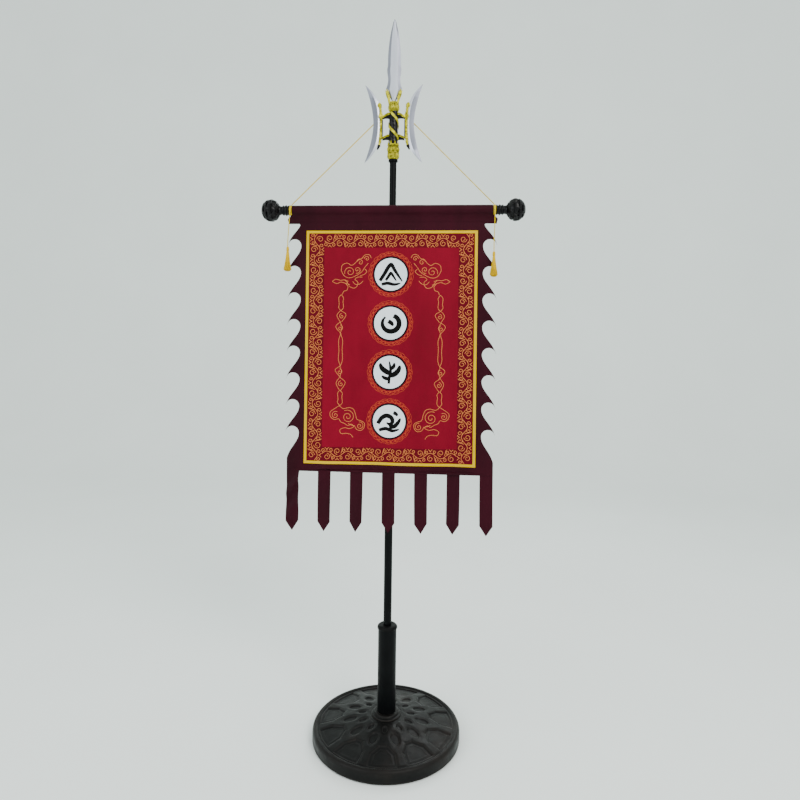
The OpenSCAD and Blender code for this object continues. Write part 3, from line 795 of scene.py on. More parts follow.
def make_sleeve():
    """The sleeve round the bar: down to the stitched seam in front and behind, a little puckered."""
    wrap = BAR_R + 0.9
    section = [(0.0, SEAM_Z - BAR_Z - 3)]
    section += [(0.35 + s / 4, SEAM_Z - BAR_Z + 1.5 + 4 * s) for s in range(4)]
    tangent = 62
    for i in range(25):
        angle = math.radians(-tangent + (180 + 2 * tangent) * i / 24)
        section.append(polar(wrap, angle))
    section += [(-0.35 - s / 4, SEAM_Z - BAR_Z + 1.5 + 4 * s) for s in range(3, -1, -1)]
    loop = section + [(0.0, SEAM_Z - BAR_Z - 3)]
    count_x = 84
    outer, inner = [], []
    for i in range(count_x + 1):
        t = 2 * i / count_x - 1
        row_out, row_in = [], []
        for k, (out, up) in enumerate(loop):
            low = smoothstep(-14, -24, up)
            x = t * (BAR_HALF - 1.0 + 13.5 * low - 2.5 * smoothstep(-26, -34, up))
            pucker = 0.0
            if k not in (0, len(loop) - 1):
                pucker = 0.55 * noise.noise(Vector((x / 60, up / 5.5, 2.0 + (out > 0)))) + 0.3
            length = math.hypot(out, up) or 1.0
            fold = 1 + pucker / length
            row_out.append(Vector((x, BAR_Y - out * fold, BAR_Z + up * (1 + 0.4 * pucker / length))))
            shrink = 1 - 0.5 / length
            row_in.append(Vector((x, BAR_Y - out * fold * shrink, BAR_Z + up * shrink)))
        outer.append(row_out)
        inner.append(row_in)
    rings = [row + back[::-1] for row, back in zip(outer, inner)]
    sleeve = piece("bar_sleeve_cloth", outward(loft(rings)), "banner", MAROON, ["bar_sleeve"])
    around = sum(math.dist(a, b) for a, b in zip(loop, loop[1:]))


def make_piping():
    """Yellow satin binding round the panel: slightly crowned, mitred at the corners."""
    width = FRAME_X - PANEL_X
    crown = [(0.0, GROUND_LIFT), (0.4, 1.25), (0.25 * width, 1.65), (0.5 * width, 1.75),
             (0.75 * width, 1.65), (width - 0.4, 1.3), (width, GROUND_LIFT)]
    corners = [(-1, -1), (1, -1), (1, 1), (-1, 1)]
    rings = []
    for (ax, az), (bx, bz) in zip(corners, corners[1:] + corners[:1]):
        steps = 80
        for s in range(steps):
            t = s / steps
            ring = []
            for inset, lift in crown:
                half_x = FRAME_X - inset
                low, top = FRAME_LOW + inset, FRAME_TOP - inset
                pick = lambda sx, sz: (sx * half_x, low if sz < 0 else top)
                (x0, z0), (x1, z1) = pick(ax, az), pick(bx, bz)
                ring.append(on_cloth(x0 + (x1 - x0) * t, z0 + (z1 - z0) * t, lift))
            rings.append(ring)
    piece("piping_satin", outward(loft(rings, loop=True)), "banner", PIPING, ["gold_piping"])


def make_stitches():
    """Rows of stitches beside the sleeve's seam and above the hem."""
    shapes = []
    for z, lift, half in ((SEAM_Z + 2.5, 1.5, BAR_HALF - 16), (HEM_Z + 6, 0.3, HEM_X - 6)):
        count = int(2 * half / 4.2)
        for i in range(count):
            x = -half + 2 * half * i / count
            path = [on_cloth(x, z, lift - 0.1), on_cloth(x + 0.8, z, lift + 0.28),
                    on_cloth(x + 2.2, z, lift + 0.28), on_cloth(x + 3.0, z, lift - 0.1)]
            shapes.append(tube(path, 0.22, 5, (0, 0, 1)))
    piece("seam_stitches", joined(shapes), "banner", MAROON)


def make_streamers():
    """Seven streamers with pointed ends, each hanging its own way; the first is folded over."""
    pitch = 2 * (HEM_X - STREAMER_W / 2) / (STREAMER_COUNT - 1)
    length = HEM_Z - STREAMER_END
    draw = random.Random(5)
    for i in range(STREAMER_COUNT):
        middle = (i - (STREAMER_COUNT - 1) / 2) * pitch
        half = STREAMER_W / 2
        outline = [(-half, 2.0), (-half, STREAMER_POINT - length)]
        outline += [(0, -length), (half, STREAMER_POINT - length), (half, 2.0)]
        dense = []
        for (x0, z0), (x1, z1) in zip(outline, outline[1:] + outline[:1]):
            count = max(1, round(math.hypot(x1 - x0, z1 - z0) / 4))
            dense.extend((x0 + (x1 - x0) * s / count, z0 + (z1 - z0) * s / count) for s in range(count))
        flat, faces = fill_outline(dense[::-1], 4.2, 4.5)
        twist, bow = draw.uniform(-0.32, 0.32), draw.uniform(-2.2, 3.0)
        cup, sway = draw.uniform(-1.6, 1.6), draw.uniform(-1.6, 1.6)

        def place(x, z, lift, first=(i == 0)):
            t = min(1.0, max(0.0, -z / length))
            base_x, base_z = middle + x, HEM_Z + z
            depth = hang(base_x, HEM_Z) + bow * math.sin(2.6 * t) + cup * t * (1 - (x / half) ** 2)
            angle = twist * t
            if first:
                angle = 0.5 * math.sin(4.4 * t + 0.3) * t ** 0.6
                depth += 7.5 * math.exp(-((t - 0.26 + 0.007 * x) / 0.075) ** 2)
                depth -= 5.0 * math.exp(-((t - 0.46 + 0.009 * x) / 0.10) ** 2)
                depth += 4.0 * math.exp(-((t - 0.72 - 0.006 * x) / 0.09) ** 2)
            turned_x = x * math.cos(angle)
            depth += x * math.sin(angle)
            return Vector((middle + turned_x + sway * t * t + (-1.5 * t if first else 0),
                           BAR_Y - depth - lift, base_z + 0.4 * abs(angle)))

        strip = piece(f"streamer_{i + 1}", thicken(flat, faces, place, -GROUND_LIFT, GROUND_LIFT),
                      "banner", MAROON, ["streamers"])
        round(flat_area(flat, faces) * MM * MM, 5)


make_ground()
make_panel()
make_sleeve()
make_piping()
make_stitches()
make_streamers()


# ---------------------------------------------------------------- ornament on the cloth

def ribbon(points, width, low=0.55, high=1.1):
    """A thin raised line on the cloth along 2-D points; width is a number or a function of 0 to 1."""
    last = len(points) - 1
    rings = []
    for i, (x, z) in enumerate(points):
        before, after = points[max(i - 1, 0)], points[min(i + 1, last)]
        dx, dz = after[0] - before[0], after[1] - before[1]
        size = math.hypot(dx, dz) or 1.0
        nx, nz = -dz / size, dx / size
        w = (width(i / last) if callable(width) else width) / 2
        rings.append([on_cloth(x + s * w * nx, z + s * w * nz, lift)
                      for s, lift in ((1, low), (0.72, high), (-0.72, high), (-1, low))])
    return outward(loft(rings))


def spiral(cx, cz, r, start, turns, turn=1, end=0.12):
    """A curl from its outer end in to its centre."""
    count = max(10, int(13 * turns * max(1, r / 9)))
    points = []
    for i in range(count + 1):
        reach = r * (1 - (1 - end) * (i / count) ** 0.9)
        angle = start + turn * TAU * turns * i / count
        points.append((cx + reach * math.cos(angle), cz + reach * math.sin(angle)))
    return points


def smooth_2d(points, steps):
    return [(p.x, p.y) for p in smooth_path([Vector((x, z, 0)) for x, z in points], steps)]


def band_lines(length, width, seed):
    """A running scroll in a band: s along it, t across it. A wavy stem with curls on both sides."""
    draw = random.Random(seed)
    cells = max(2, round(length / 28))
    cell, middle = length / cells, width / 2
    lines = [[(cell * i / 8, middle + 0.2 * width * math.sin(TAU * i / 16)) for i in range(8 * cells + 1)]]
    for c in range(cells):
        side = 1 if c % 2 == 0 else -1

        def at(s, t, c=c, side=side):
            return cell * (c + s), middle + side * width * t

        def curl(s, t, r, start, turns, turn):
            lines.append(spiral(*at(s, t), r, math.radians(start * side), turns, turn, 0.3))

        big, small = width * draw.uniform(0.22, 0.26), width * draw.uniform(0.13, 0.17)
        curl(0.5, -0.2, big, 90, 1.3, side * draw.choice((1, -1)))
        curl(0.16, 0.27, small, -60, 1.1, -side)
        curl(0.86, 0.30, small, -120, 1.1, side)
        lines.append(smooth_2d([at(0.30, 0.46), at(0.42, 0.40), at(0.5, 0.30), at(0.58, 0.40),
                                at(0.70, 0.46)], 4))
        if at(1.10, 0)[0] < length:
            lines.append(smooth_2d([at(0.86, -0.02), at(0.94, -0.22), at(1.0, -0.40), at(1.10, -0.46)], 4))
    return lines


def make_scroll_border():
    """Scroll band inside the piping: four sides that meet at the corners."""
    shapes = []
    x_in, low, top = PANEL_X - BAND_GAP, PANEL_LOW + BAND_GAP, PANEL_TOP - BAND_GAP
    end_x, end_length = SIDE_BAND - x_in, 2 * (x_in - SIDE_BAND)
    for seed, (length, width, put) in enumerate((
            (top - low, SIDE_BAND, lambda s, t: (-x_in + t, low + s)),
            (top - low, SIDE_BAND, lambda s, t: (x_in - t, low + s)),
            (end_length, END_BAND, lambda s, t: (end_x + s, top - t)),
            (end_length, END_BAND, lambda s, t: (end_x + s, low + t)))):
        for line in band_lines(length, width, seed + 3):
            shapes.append(ribbon([put(s, t) for s, t in line], 1.5))
    piece("scroll_border", joined(shapes), "banner", LINE)


def make_clouds():
    """Cloud scrolls above and below a knotted double line, down each side of the panel."""
    curls = [
        (-112, 1266, 15, 200, 1.5, -1), (-92, 1272, 10, 250, 1.4, 1), (-84, 1292, 9, 160, 1.3, -1),
        (-66, 1302, 8, 180, 1.3, -1), (-113, 872, 19, 120, 1.9, -1), (-147, 876, 11, 60, 1.5, 1),
        (-80, 848, 11, 100, 1.5, -1)]
    upper = [
        [(-136, 1270), (-133, 1284), (-120, 1290), (-108, 1284), (-98, 1290), (-90, 1300), (-80, 1303),
         (-72, 1312), (-60, 1313), (-54, 1304)],
        [(-136, 1270), (-128, 1256), (-116, 1250), (-104, 1252), (-92, 1258), (-80, 1266), (-72, 1278),
         (-62, 1290)],
        [(-160, 1240), (-150, 1246), (-138, 1243), (-126, 1244), (-116, 1240)],
        [(-160, 1240), (-148, 1234), (-136, 1238), (-124, 1235), (-112, 1231)],
        [(-126, 1244), (-118, 1236), (-112, 1226), (-100, 1222), (-92, 1228), (-90, 1238), (-98, 1246),
         (-90, 1252), (-78, 1252)],
        [(-132, 1204), (-128, 1213), (-120, 1216), (-117, 1226), (-124, 1235)],
        [(-84, 1256), (-72, 1260), (-66, 1268), (-72, 1274)],
        [(-104, 1240), (-96, 1232), (-84, 1234), (-76, 1242)]]
    lower = [
        [(-136, 902), (-126, 894), (-110, 897), (-98, 893), (-92, 880), (-88, 866), (-78, 862),
         (-68, 856), (-68, 844), (-76, 836), (-88, 838), (-94, 848)],
        [(-136, 902), (-150, 893), (-161, 884), (-160, 872), (-150, 864), (-138, 866), (-132, 858),
         (-122, 854)],
        [(-122, 854), (-112, 848), (-104, 852), (-96, 846), (-108, 840), (-122, 842), (-134, 836),
         (-130, 826), (-116, 827), (-104, 824), (-98, 816)]]
    clouds = [spiral(x, z, r, math.radians(start), turns, turn) for x, z, r, start, turns, turn in curls]
    clouds += [smooth_2d(line, 5) for line in upper + lower]
    clouds.append(smooth_2d([(-94, 848), (-104, 850), (-112, 854)], 4))
    knots = []
    for z0, z1, side in ((1160, 1130, 1), (1130, 1096, -1), (1010, 978, -1), (978, 944, 1)):
        mid, half = (z0 + z1) / 2, (z0 - z1) / 2
        knots.append(smooth_2d([(-135, z0), (-135 + 14 * side, mid + 4), (-133, z1)], 6))
        knots.append(smooth_2d([(-137, z0), (-139 - 7 * side, mid + 2), (-137, z1)], 6))
        knots.append(spiral(-135 + 2 * side, mid, 0.5 * half, math.radians(90), 1.3, side))
    stretches = []
    for z0, z1, spread_x in ((1204, 1160, 6.5), (1096, 1010, 5.5), (944, 902, 6.5)):
        for side in (-1, 1):
            stretches.append(smooth_2d([
                (-135, z0), (-135 + side * spread_x, z0 - 0.2 * (z0 - z1)),
                (-135 + side * spread_x * 0.8, (z0 + z1) / 2 + 3 * side),
                (-135 + side * spread_x, z1 + 0.2 * (z0 - z1)), (-135, z1)], 5))
    shapes = []
    for line in clouds + knots + stretches:
        shapes.append(ribbon(line, 1.4))
        shapes.append(ribbon([(-x, z) for x, z in line], 1.4))
    piece("cloud_scrolls", joined(shapes), "banner", LINE)


def ring_ribbon(cx, cz, radius, width, low, high, count=96, wobble=None):
    """A closed raised line round a centre; wobble(angle) adds to the radius."""
    rings = []
    for i in range(count):
        a = TAU * i / count
        r = radius + (wobble(a) if wobble else 0)
        ring = []
        for s, lift in ((1, low), (0.8, high), (-0.8, high), (-1, low)):
            rr = r + s * width / 2
            ring.append(on_cloth(cx + rr * math.cos(a), cz + rr * math.sin(a), lift))
        rings.append(ring)
    return outward(loft(rings, loop=True))


def patch_centres():
    return [PATCH_TOP + (PATCH_LOW - PATCH_TOP) * i / 3 for i in range(4)]


DISC_SIDES = 72
DISC_RINGS = 10


def make_patches():
    """Four round patches with black rings, in a lace of vermilion flames."""
    discs, rings, lace = [], [], []
    for index, cz in enumerate(patch_centres()):
        flat, faces = [(0.0, cz)], []
        for ring_no in range(1, DISC_RINGS + 1):
            r = (PATCH_R - 2) * ring_no / DISC_RINGS
            flat.extend(circle(0, cz, r, DISC_SIDES))
        for i in range(DISC_SIDES):
            k = (i + 1) % DISC_SIDES
            faces.append([0, 1 + i, 1 + k])
            for ring_no in range(DISC_RINGS - 1):
                a, b = 1 + ring_no * DISC_SIDES, 1 + (ring_no + 1) * DISC_SIDES
                faces.append([a + i, b + i, b + k, a + k])
        discs.append(thicken(flat, faces, on_cloth, 0.6, 1.3))
        rings.append(ring_ribbon(0, cz, PATCH_R - 2.2, 4.6, 0.6, 1.7))
        phase = 0.7 * index
        lace.append(ring_ribbon(0, cz, 52, 1.6, 0.55, 1.15, 180,
                                lambda a: 1.1 * math.sin(22 * a + phase)))
        lace.append(ring_ribbon(0, cz, 56.5, 1.4, 0.55, 1.1, 240,
                                lambda a: 1.8 * math.sin(26 * a) + 0.9 * math.sin(9 * a + phase)))
        lace.append(ring_ribbon(0, cz, 60.5, 1.1, 0.55, 1.05, 240,
                                lambda a: 2.0 * abs(math.sin(10 * a + phase)) - 1.0))
        draw = random.Random(30 + index)
        for i in range(30):
            a = TAU * i / 30 + phase
            size = draw.uniform(2.6, 3.6)
            r = draw.uniform(53.5, 57.5)
            lace.append(ribbon(spiral(r * math.cos(a), cz + r * math.sin(a), size, a, 1.2,
                                      draw.choice((1, -1))), 1.2))
    piece("patch_discs", joined(discs), "banner", PATCH, ["roundels"])
    piece("patch_rings", joined(rings), "banner", INK)
    piece("patch_lace", joined(lace), "banner", HALO)


def brush(points, weight, lift, steps=7):
    """A brush stroke: swells after its start and tapers at its end. weight is its widest."""
    line = smooth_2d(points, steps)
    profile = lambda t: 1.55 * weight * (0.38 + 0.62 * math.sin(math.pi * min(1, 0.2 + 0.85 * t)) ** 0.6)
    return ribbon(line, profile, 1.2, lift)


def make_motifs():
    """A generic brushed emblem on each patch: a mountain, a ring, a leaf and a wave."""
    top, second, third, fourth = patch_centres()
    strokes = []

    def draw(centre, lines):
        for number, (points, weight) in enumerate(lines):
            strokes.append(brush([(1.14 * x, centre + 1.1 * z) for x, z in points], 1.25 * weight,
                                 lift=1.5 + 0.03 * number))

    draw(top, [
        ([(-26, -16), (-15, 2), (-6, 18), (1, 24), (8, 12), (17, -2), (27, -17)], 6.0),
        ([(-12, -15), (-5, -4), (0, 3), (6, -5), (13, -16)], 4.6),
        ([(-22, -25), (-8, -22), (8, -25), (23, -22)], 5.0)])
    draw(second, [
        ([(20 * math.cos(math.radians(a)) + 1, 20 * math.sin(math.radians(a)))
          for a in range(70, -236, -25)], 8.0),
        ([(-5, 5), (2, 1), (7, -6)], 6.5)])
    draw(third, [
        ([(-2, -28), (-1, -14), (2, 0), (1, 14), (-1, 27)], 4.6),
        ([(1, -8), (12, -4), (21, 6), (24, 17)], 8.0),
        ([(-1, -2), (-12, 4), (-20, 12), (-23, 22)], 8.0),
        ([(0, -16), (-10, -15), (-19, -9)], 5.5),
        ([(2, 8), (9, 14), (11, 23)], 5.5)])
    draw(fourth, [
        ([(-27, -6), (-18, 8), (-6, 14), (5, 9), (8, -1), (1, -7), (-6, -3)], 7.0),
        ([(0, -14), (12, -12), (21, -3), (27, 8)], 6.5),
        ([(-24, -22), (-8, -18), (8, -23), (24, -19)], 5.5),
        ([(10, 22), (16, 19), (20, 14)], 5.5)])
    piece("patch_emblems", joined(strokes), "banner", INK)


make_scroll_border()
make_clouds()
make_patches()
make_motifs()


# ---------------------------------------------------------------- finials

def make_finials():
    """Turned neck with three rings and a ball carved with overlapping petals."""
    ball_x, ball_half, ball_r = 59.6, 26, 31
    neck = [(4.02, 0), (BAR_R - 1, 0), (BAR_R - 1, 7), (13.5, 7.5), (14, 9), (13.5, 10.5), (12, 11.5),
            (12, 13.5), (14, 14.5), (14.6, 16.5), (14, 18.5), (12, 19.5), (12, 21.5), (13.5, 22.5),
            (14, 24), (13.5, 25.5), (11.5, 27.5), (11.5, 32), (13, 34.5), (4.02, 34.5)]
    neck_shape = revolve(resample(neck, 1.2), 72)
    ball = [(ball_r * math.cos(math.radians(a)), ball_x + ball_half * math.sin(math.radians(a)))
            for a in range(-74, 90, 2)]
    outline = [(0, ball_x - ball_half)] + ball + [(0, ball_x + ball_half)]

    def carved(r, angle, z):
        lat = math.asin(max(-1, min(1, (z - ball_x) / ball_half)))
        rows = 5.2 * (lat + 1.25) / 2.6
        row = math.floor(rows)
        frac = rows - row
        around = 7 * angle / TAU + 0.5 * (row % 2) + 0.18 * math.sin(3 * angle)
        petal = abs((around % 1) - 0.5) * 2
        scallop = 1 - petal ** 2.2
        edge = smoothstep(0.0, 0.22, scallop - frac * 0.92 + 0.06)
        vein = 0.35 * math.cos(TAU * 4 * (around % 1)) * smoothstep(0.1, 0.6, scallop)
        depth = 2.6 * (1 - edge) + 0.9 * frac - vein
        return r * (1 - 0.055) - depth * min(1, r / 12) + 1.1 * min(1, r / 12)

    ball_shape = solid_of_revolution(outline, 168, carved)
    for side, sign in (("right", 1), ("left", -1)):
        def turned(v, sign=sign):
            return Vector((sign * (BAR_HALF + 0.2 + v.z), BAR_Y + v.x, BAR_Z + v.y))
        shape = outward(moved(neck_shape, turned)), outward(moved(ball_shape, turned))
        piece(f"finial_{side}_carved", joined(shape), "hanger", GLOSS, [f"finial_{side}"],
              sharp=50)


make_finials()


# ---------------------------------------------------------------- the head

def gilt(name, shape, replaces=()):
    """A gilt piece of the head."""
    return piece(name, shape, "upper_pole_body", GILT, replaces)


def make_gold_collar():
    """Two swells of lotus petals with a beaded ring between them."""
    low, high = box_mm("gold_collar")
    z0, top = low[2], high[2]
    outer = [(12.2, z0), (13, z0 + 1), (14.8, z0 + 3), (16.5, z0 + 8), (16.4, z0 + 13), (14.8, z0 + 17),
             (14.6, z0 + 19), (16.4, z0 + 22), (17.2, z0 + 27), (16.7, z0 + 31), (15.0, z0 + 35),
             (14.8, z0 + 36), (15.9, z0 + 38), (15, top)]
    profile = resample(outer, 0.7)
    profile = [(9.7, z0)] + profile + [(9.7, top)]

    def petals(r, angle, z):
        if r < 10:
            return r
        t = z - z0
        lower = smoothstep(1, 4, t) * (1 - smoothstep(15, 17.5, t))
        upper = smoothstep(18.5, 21, t) * (1 - smoothstep(33, 35.5, t))
        a = abs(((8 * angle / TAU) % 1) - 0.5) * 2
        b = abs(((8 * angle / TAU + 0.5) % 1) - 0.5) * 2
        low_petal = smoothstep(0.06, 0.3, a - 0.55 * abs(t - 9) / 8 + 0.12)
        up_petal = smoothstep(0.06, 0.3, b - 0.55 * abs(t - 27) / 8 + 0.12)
        rib = 0.28 * math.cos(48 * angle)
        return r - 1.5 * lower * (1 - low_petal) - 1.6 * upper * (1 - up_petal) \
            + rib * (lower * low_petal + upper * up_petal)

    beads = []
    for i in range(22):
        a = TAU * i / 22
        beads.append(bead((15.0 * math.cos(a), 15.0 * math.sin(a), z0 + 17.8), 1.6))
    leaves = []
    for i in range(8):
        a = TAU * (i + 0.5) / 8
        leaves.append(tube([(14.2 * math.cos(a), 14.2 * math.sin(a), top - 3),
                            (14.6 * math.cos(a), 14.6 * math.sin(a), top + 4),
                            (13.9 * math.cos(a), 13.9 * math.sin(a), top + 10)],
                           lambda t: 3.0 - 2.6 * t, 8, (math.cos(a), math.sin(a), 0)))
    shape = joined([revolve(profile, 192, petals)] + beads + leaves)
    gilt("gold_collar_lotus", shape, ["gold_collar"])


SPIRAL_PITCH = 90


def band_angle(z):
    """Angle of the first gilt band on the column at a height."""
    return math.radians(-126 + 360 * (COLUMN_TOP - 3 - z) / SPIRAL_PITCH)


def make_column():
    """Lacquered column, twisted like a two-strand rope, with the gilt bands in its hollows."""
    low, high = box_mm("head_column")
    profile = [(0, low[2]), (11.6, low[2]), (12.4, low[2] + 4), (12.9, low[2] + 12), (12.9, low[2] + 22),
               (12.4, low[2] + 45), (12.9, low[2] + 68), (12.6, low[2] + 84), (12.2, high[2]), (0, high[2])]
    twist = lambda r, a, z: r * (1 - 0.05 * (1 + math.cos(2 * (a - band_angle(z))))) \
        - 0.2 * math.cos(10 * (a - band_angle(z))) * min(1, r / 9)
    piece("head_column_lacquer", solid_of_revolution(resample(profile, 1.4), 120, twist),
          "upper_pole_body", GLOSS, ["head_column"])


def helix(turn, radius, shift, count=104):
    """Points of one gilt band: turn is 0 or half a turn, shift moves it along the column."""
    points = []
    for i in range(count):
        z = COLUMN_TOP - 3 - 76.5 * i / (count - 1)
        a = band_angle(z) + turn
        points.append((radius * math.cos(a), radius * math.sin(a), z + shift))
    return points


def make_spiral():
    """Two broad gilt bands that wind down the column, each with three ropes along it."""
    shapes = []
    for turn in (0, math.pi):
        wide = lambda t: 1.3 * (0.5 + 0.5 * math.sin(math.pi * min(1, 0.12 + 0.86 * t)) ** 0.5)
        shapes.append(tube(helix(turn, 12.8, 0), wide, 14, (0, 0, 1), 2.5))
        for shift, r in ((-3.4, 0.95), (0, 0.8), (3.4, 0.95)):
            rope = helix(turn, 13.8, shift)[4:-5]
            shapes.append(tube(rope, lambda t, r=r: r * (1 + 0.22 * math.sin(190 * t)), 9, (0, 0, 1)))
    gilt("gold_spiral_rope", joined(shapes), ["gold_spiral"])


def arm_shape(z, height, rise):
    """One cross arm: an arch with rounded edges from the column to the bracket."""
    rings = []
    count = 22
    for i in range(count + 1):
        t = i / count
        x = 10.5 + 20 * t
        top = z + height - rise * smoothstep(0.1, 1.0, t)
        bottom = z + 1.6 * math.sin(math.pi * t)
        mid, half = (top + bottom) / 2, (top - bottom) / 2
        depth = 4.3 - 0.6 * t
        ring = []
        for k in range(16):
            a = TAU * k / 16
            y, up = (math.copysign(abs(v) ** 0.55, v) for v in (math.cos(a), math.sin(a)))
            ring.append((x, depth * y, mid + half * up))
        rings.append(ring)
    return outward(loft(rings))


def make_arms():
    for name, z, height, rise, thick in (("upper_arms", CORD_Z - 3, 15.5, 8, 2.3),
                                         ("lower_arms", COLUMN_Z + 13, 15.5, 6, 1.3)):
        arm = arm_shape(z, height, rise)
        piece(f"{name}_lacquer", joined([arm, outward(mirrored(arm))]), "upper_pole_body",
              GLOSS, [name])
        trims = []
        for depth, drop, r in ((-3.6, 0.6, thick), (0, 0, thick), (3.6, 0.6, thick), (-4.5, 4.4, 0.8)):
            line = [(11 + 20.5 * t / 20, depth * (1 - 0.006 * t),
                     z + height - drop - rise * smoothstep(0.1, 1.0, t / 20)) for t in range(21)]
            trim = tube(line, lambda t, r=r: r * (1 + 0.16 * math.sin(44 * t)), 10)
            trims += [trim, outward(mirrored(trim))]
        gilt(f"{name}_trim", joined(trims))


def make_brackets():
    """Scrolled gilt brackets: a curl at the top, a knot at the upper arm, spines and scales down to a
    dark foot, and a dark liner on the inner side."""
    z = COLUMN_Z
    rail = [(42.6, 0, z + 106, 1.6), (43.2, 0, z + 111, 3), (39.6, 0, z + 114, 4.4), (37, 0, z + 109, 4.6),
            (37.2, 0, z + 102, 4.0), (36, 0, z + 92, 4.4), (35, 0, z + 80, 6.0), (35, 0, z + 68, 4.8),
            (35.5, 0, z + 50, 4.1), (35.5, 0, z + 34, 4.3), (36, 0, z + 20, 4.7), (37.5, 0, z + 8, 4.3),
            (40, 0, z - 1, 3.8)]
    dense = smooth_path([Vector((p[0], p[3], p[2])) for p in rail], 8)
    path = [(p.x, 0, p.z) for p in dense]
    radii = [p.y for p in dense]
    count = len(path) - 1
    body = tube(path, lambda t: radii[round(t * count)] * (0.86 + 0.10 * math.sin(t * 92)), 16)
    parts = [body, bead((42.6, 0, z + 107), 3.2)]
    for k in range(17):
        i = int(22 + (count - 28) * k / 17)
        x, _, zz = path[i]
        r = radii[i]
        for side in (-1, 1):
            parts.append(bead((x + 0.1 * r, side * r * 0.80, zz), 2.2, 0.8))
            parts.append(tube([(x - 0.4 * r, side * r * 0.85, zz + 1.6),
                               (x + 0.6 * r, side * r * 0.95, zz - 1.8)], 0.7, 6, (0, 1, 0.3)))
        parts.append(tube([(x + 0.5 * r, 0, zz - 1), (x + 1.0 * r, 0, zz + 0.6), (x + 1.32 * r, 0, zz + 2.4)],
                          lambda t: 1.9 - 1.5 * t, 8))
    for side in (-1, 1):
        for cx, y, cz, wide, tall, r, count in ((35, 4.6, z + 80, 5.0, 5.6, 1.3, 24),
                                                (40, 3.4, z + 110, 3.4, 3.6, 1.0, 20)):
            turns = [TAU * i / count for i in range(count)]
            oval = [(cx + wide * math.cos(a), side * y, cz + tall * math.sin(a)) for a in turns]
            parts.append(ring_tube(oval, r, 8, (0, 1, 0)))
    liner = tube([(31.2, 0, z + 70 - 5.2 * i) for i in range(11)], 1.9, 8)
    foot = tube([(39.3, 0, z), (41, 0, z - 4), (42.8, 0, z - 8.5), (44.4, 0, z - 12)],
                lambda t: 4.6 - 2.8 * t, 12)
    gold, dark = joined(parts), joined([liner, foot])
    for side in ("right", "left"):
        change = mirrored if side == "left" else (lambda shape: shape)
        gilt(f"bracket_{side}_scroll", change(gold), [f"bracket_{side}"])
        piece(f"bracket_{side}_liner", change(dark), "upper_pole_body", GLOSS)


def paint_bevel_shade(obj, chosen):
    """Give the faces whose normal is chosen the darker copy of the blade metal: painted shade on those
    bevels.
    """
    obj.data.materials.append(BEVEL_SHADE)
    for face in obj.data.polygons:
        face.material_index = int(chosen(face.normal))


def make_crescents():
    """Crescent blades with a wide outer bevel, a narrow inner one and a crisp ridge."""
    low, high = box_mm("crescent_right")
    mid, half = (low[2] + high[2]) / 2, (high[2] - low[2]) / 2
    rings = []
    for i in range(-60, 61):
        t = math.sin(math.pi / 2 * i / 60) * 0.999
        inner = 36 + 43 * abs(t) ** 3
        outer = max(56 + 23.6 * abs(t) ** 1.7, inner + 0.5)
        wide = outer - inner
        ridge = inner + 0.34 * wide
        y = min(2.9, 0.22 * wide) + 0.12
        z = mid + half * t
        rings.append([(inner, 0.15, z), (ridge - 0.35, y, z), (ridge + 0.35, y, z), (outer, 0.15, z),
                      (outer, -0.15, z), (ridge + 0.35, -y, z), (ridge - 0.35, -y, z), (inner, -0.15, z)])
    blade = outward(loft(rings))
    for side, shape in (("right", blade), ("left", outward(mirrored(blade)))):
        obj = piece(f"crescent_{side}_blade", shape, "upper_pole_body", SILVER,
                    [f"crescent_{side}"], sharp=14)
        sign = 1 if side == "right" else -1
        # painted shade: the outer bevel, facing away from the column, takes the darker copy of the blade
        # metal
        paint_bevel_shade(obj, lambda n, sign=sign: n.x * sign > 0.1)


SPEAR_LENGTH = 231


def make_spear():
    """Spear blade: a raised middle, two bevels on each face, a flared foot."""
    base = box_mm("spear_blade")[1][2] - SPEAR_LENGTH
    drawn = [(-8, 2.5), (0, 2.5), (11, 9), (25, 16.5), (38, 22.5), (46, 19.5), (58, 17.2), (69, 17),
             (81, 18.8), (92, 19.5), (104, 18), (128, 17.6), (150, 16.2), (173, 13.8), (194, 10.6),
             (211, 6.8), (223, 4), (SPEAR_LENGTH, 0.4)]
    lower = [(float(a), float(b)) for a, b in refine_pairs(drawn[:5], 4)]
    upper = smooth_2d(drawn[4:], 6)
    rings = []
    for h, w in lower + upper[1:]:
        w = max(w, 0.3)
        y = min(3.2, 0.35 * w) + 0.15
        e = min(0.3, w / 4)
        z = base + h
        rings.append([
            (w, -e, z), (w, e, z), (0.55 * w, 0.78 * y, z), (0.08 * w, y, z), (-0.08 * w, y, z),
            (-0.55 * w, 0.78 * y, z), (-w, e, z), (-w, -e, z), (-0.55 * w, -0.78 * y, z), (-0.08 * w, -y, z),
            (0.08 * w, -y, z), (0.55 * w, -0.78 * y, z)])
    blade = piece("spear_blade_bevelled", outward(loft(rings)), "upper_pole_body", SILVER,
                  ["spear_blade"], sharp=9)
    # painted shade: the steep edge bevels on both faces take the darker copy of the blade metal
    paint_bevel_shade(blade, lambda n: abs(n.x) > 0.2)


def refine_pairs(pairs, steps):
    out = []
    for (a, b), (c, d) in zip(pairs, pairs[1:]):
        out.extend((a + (c - a) * s / steps, b + (d - b) * s / steps) for s in range(steps))
    return out + [pairs[-1]]


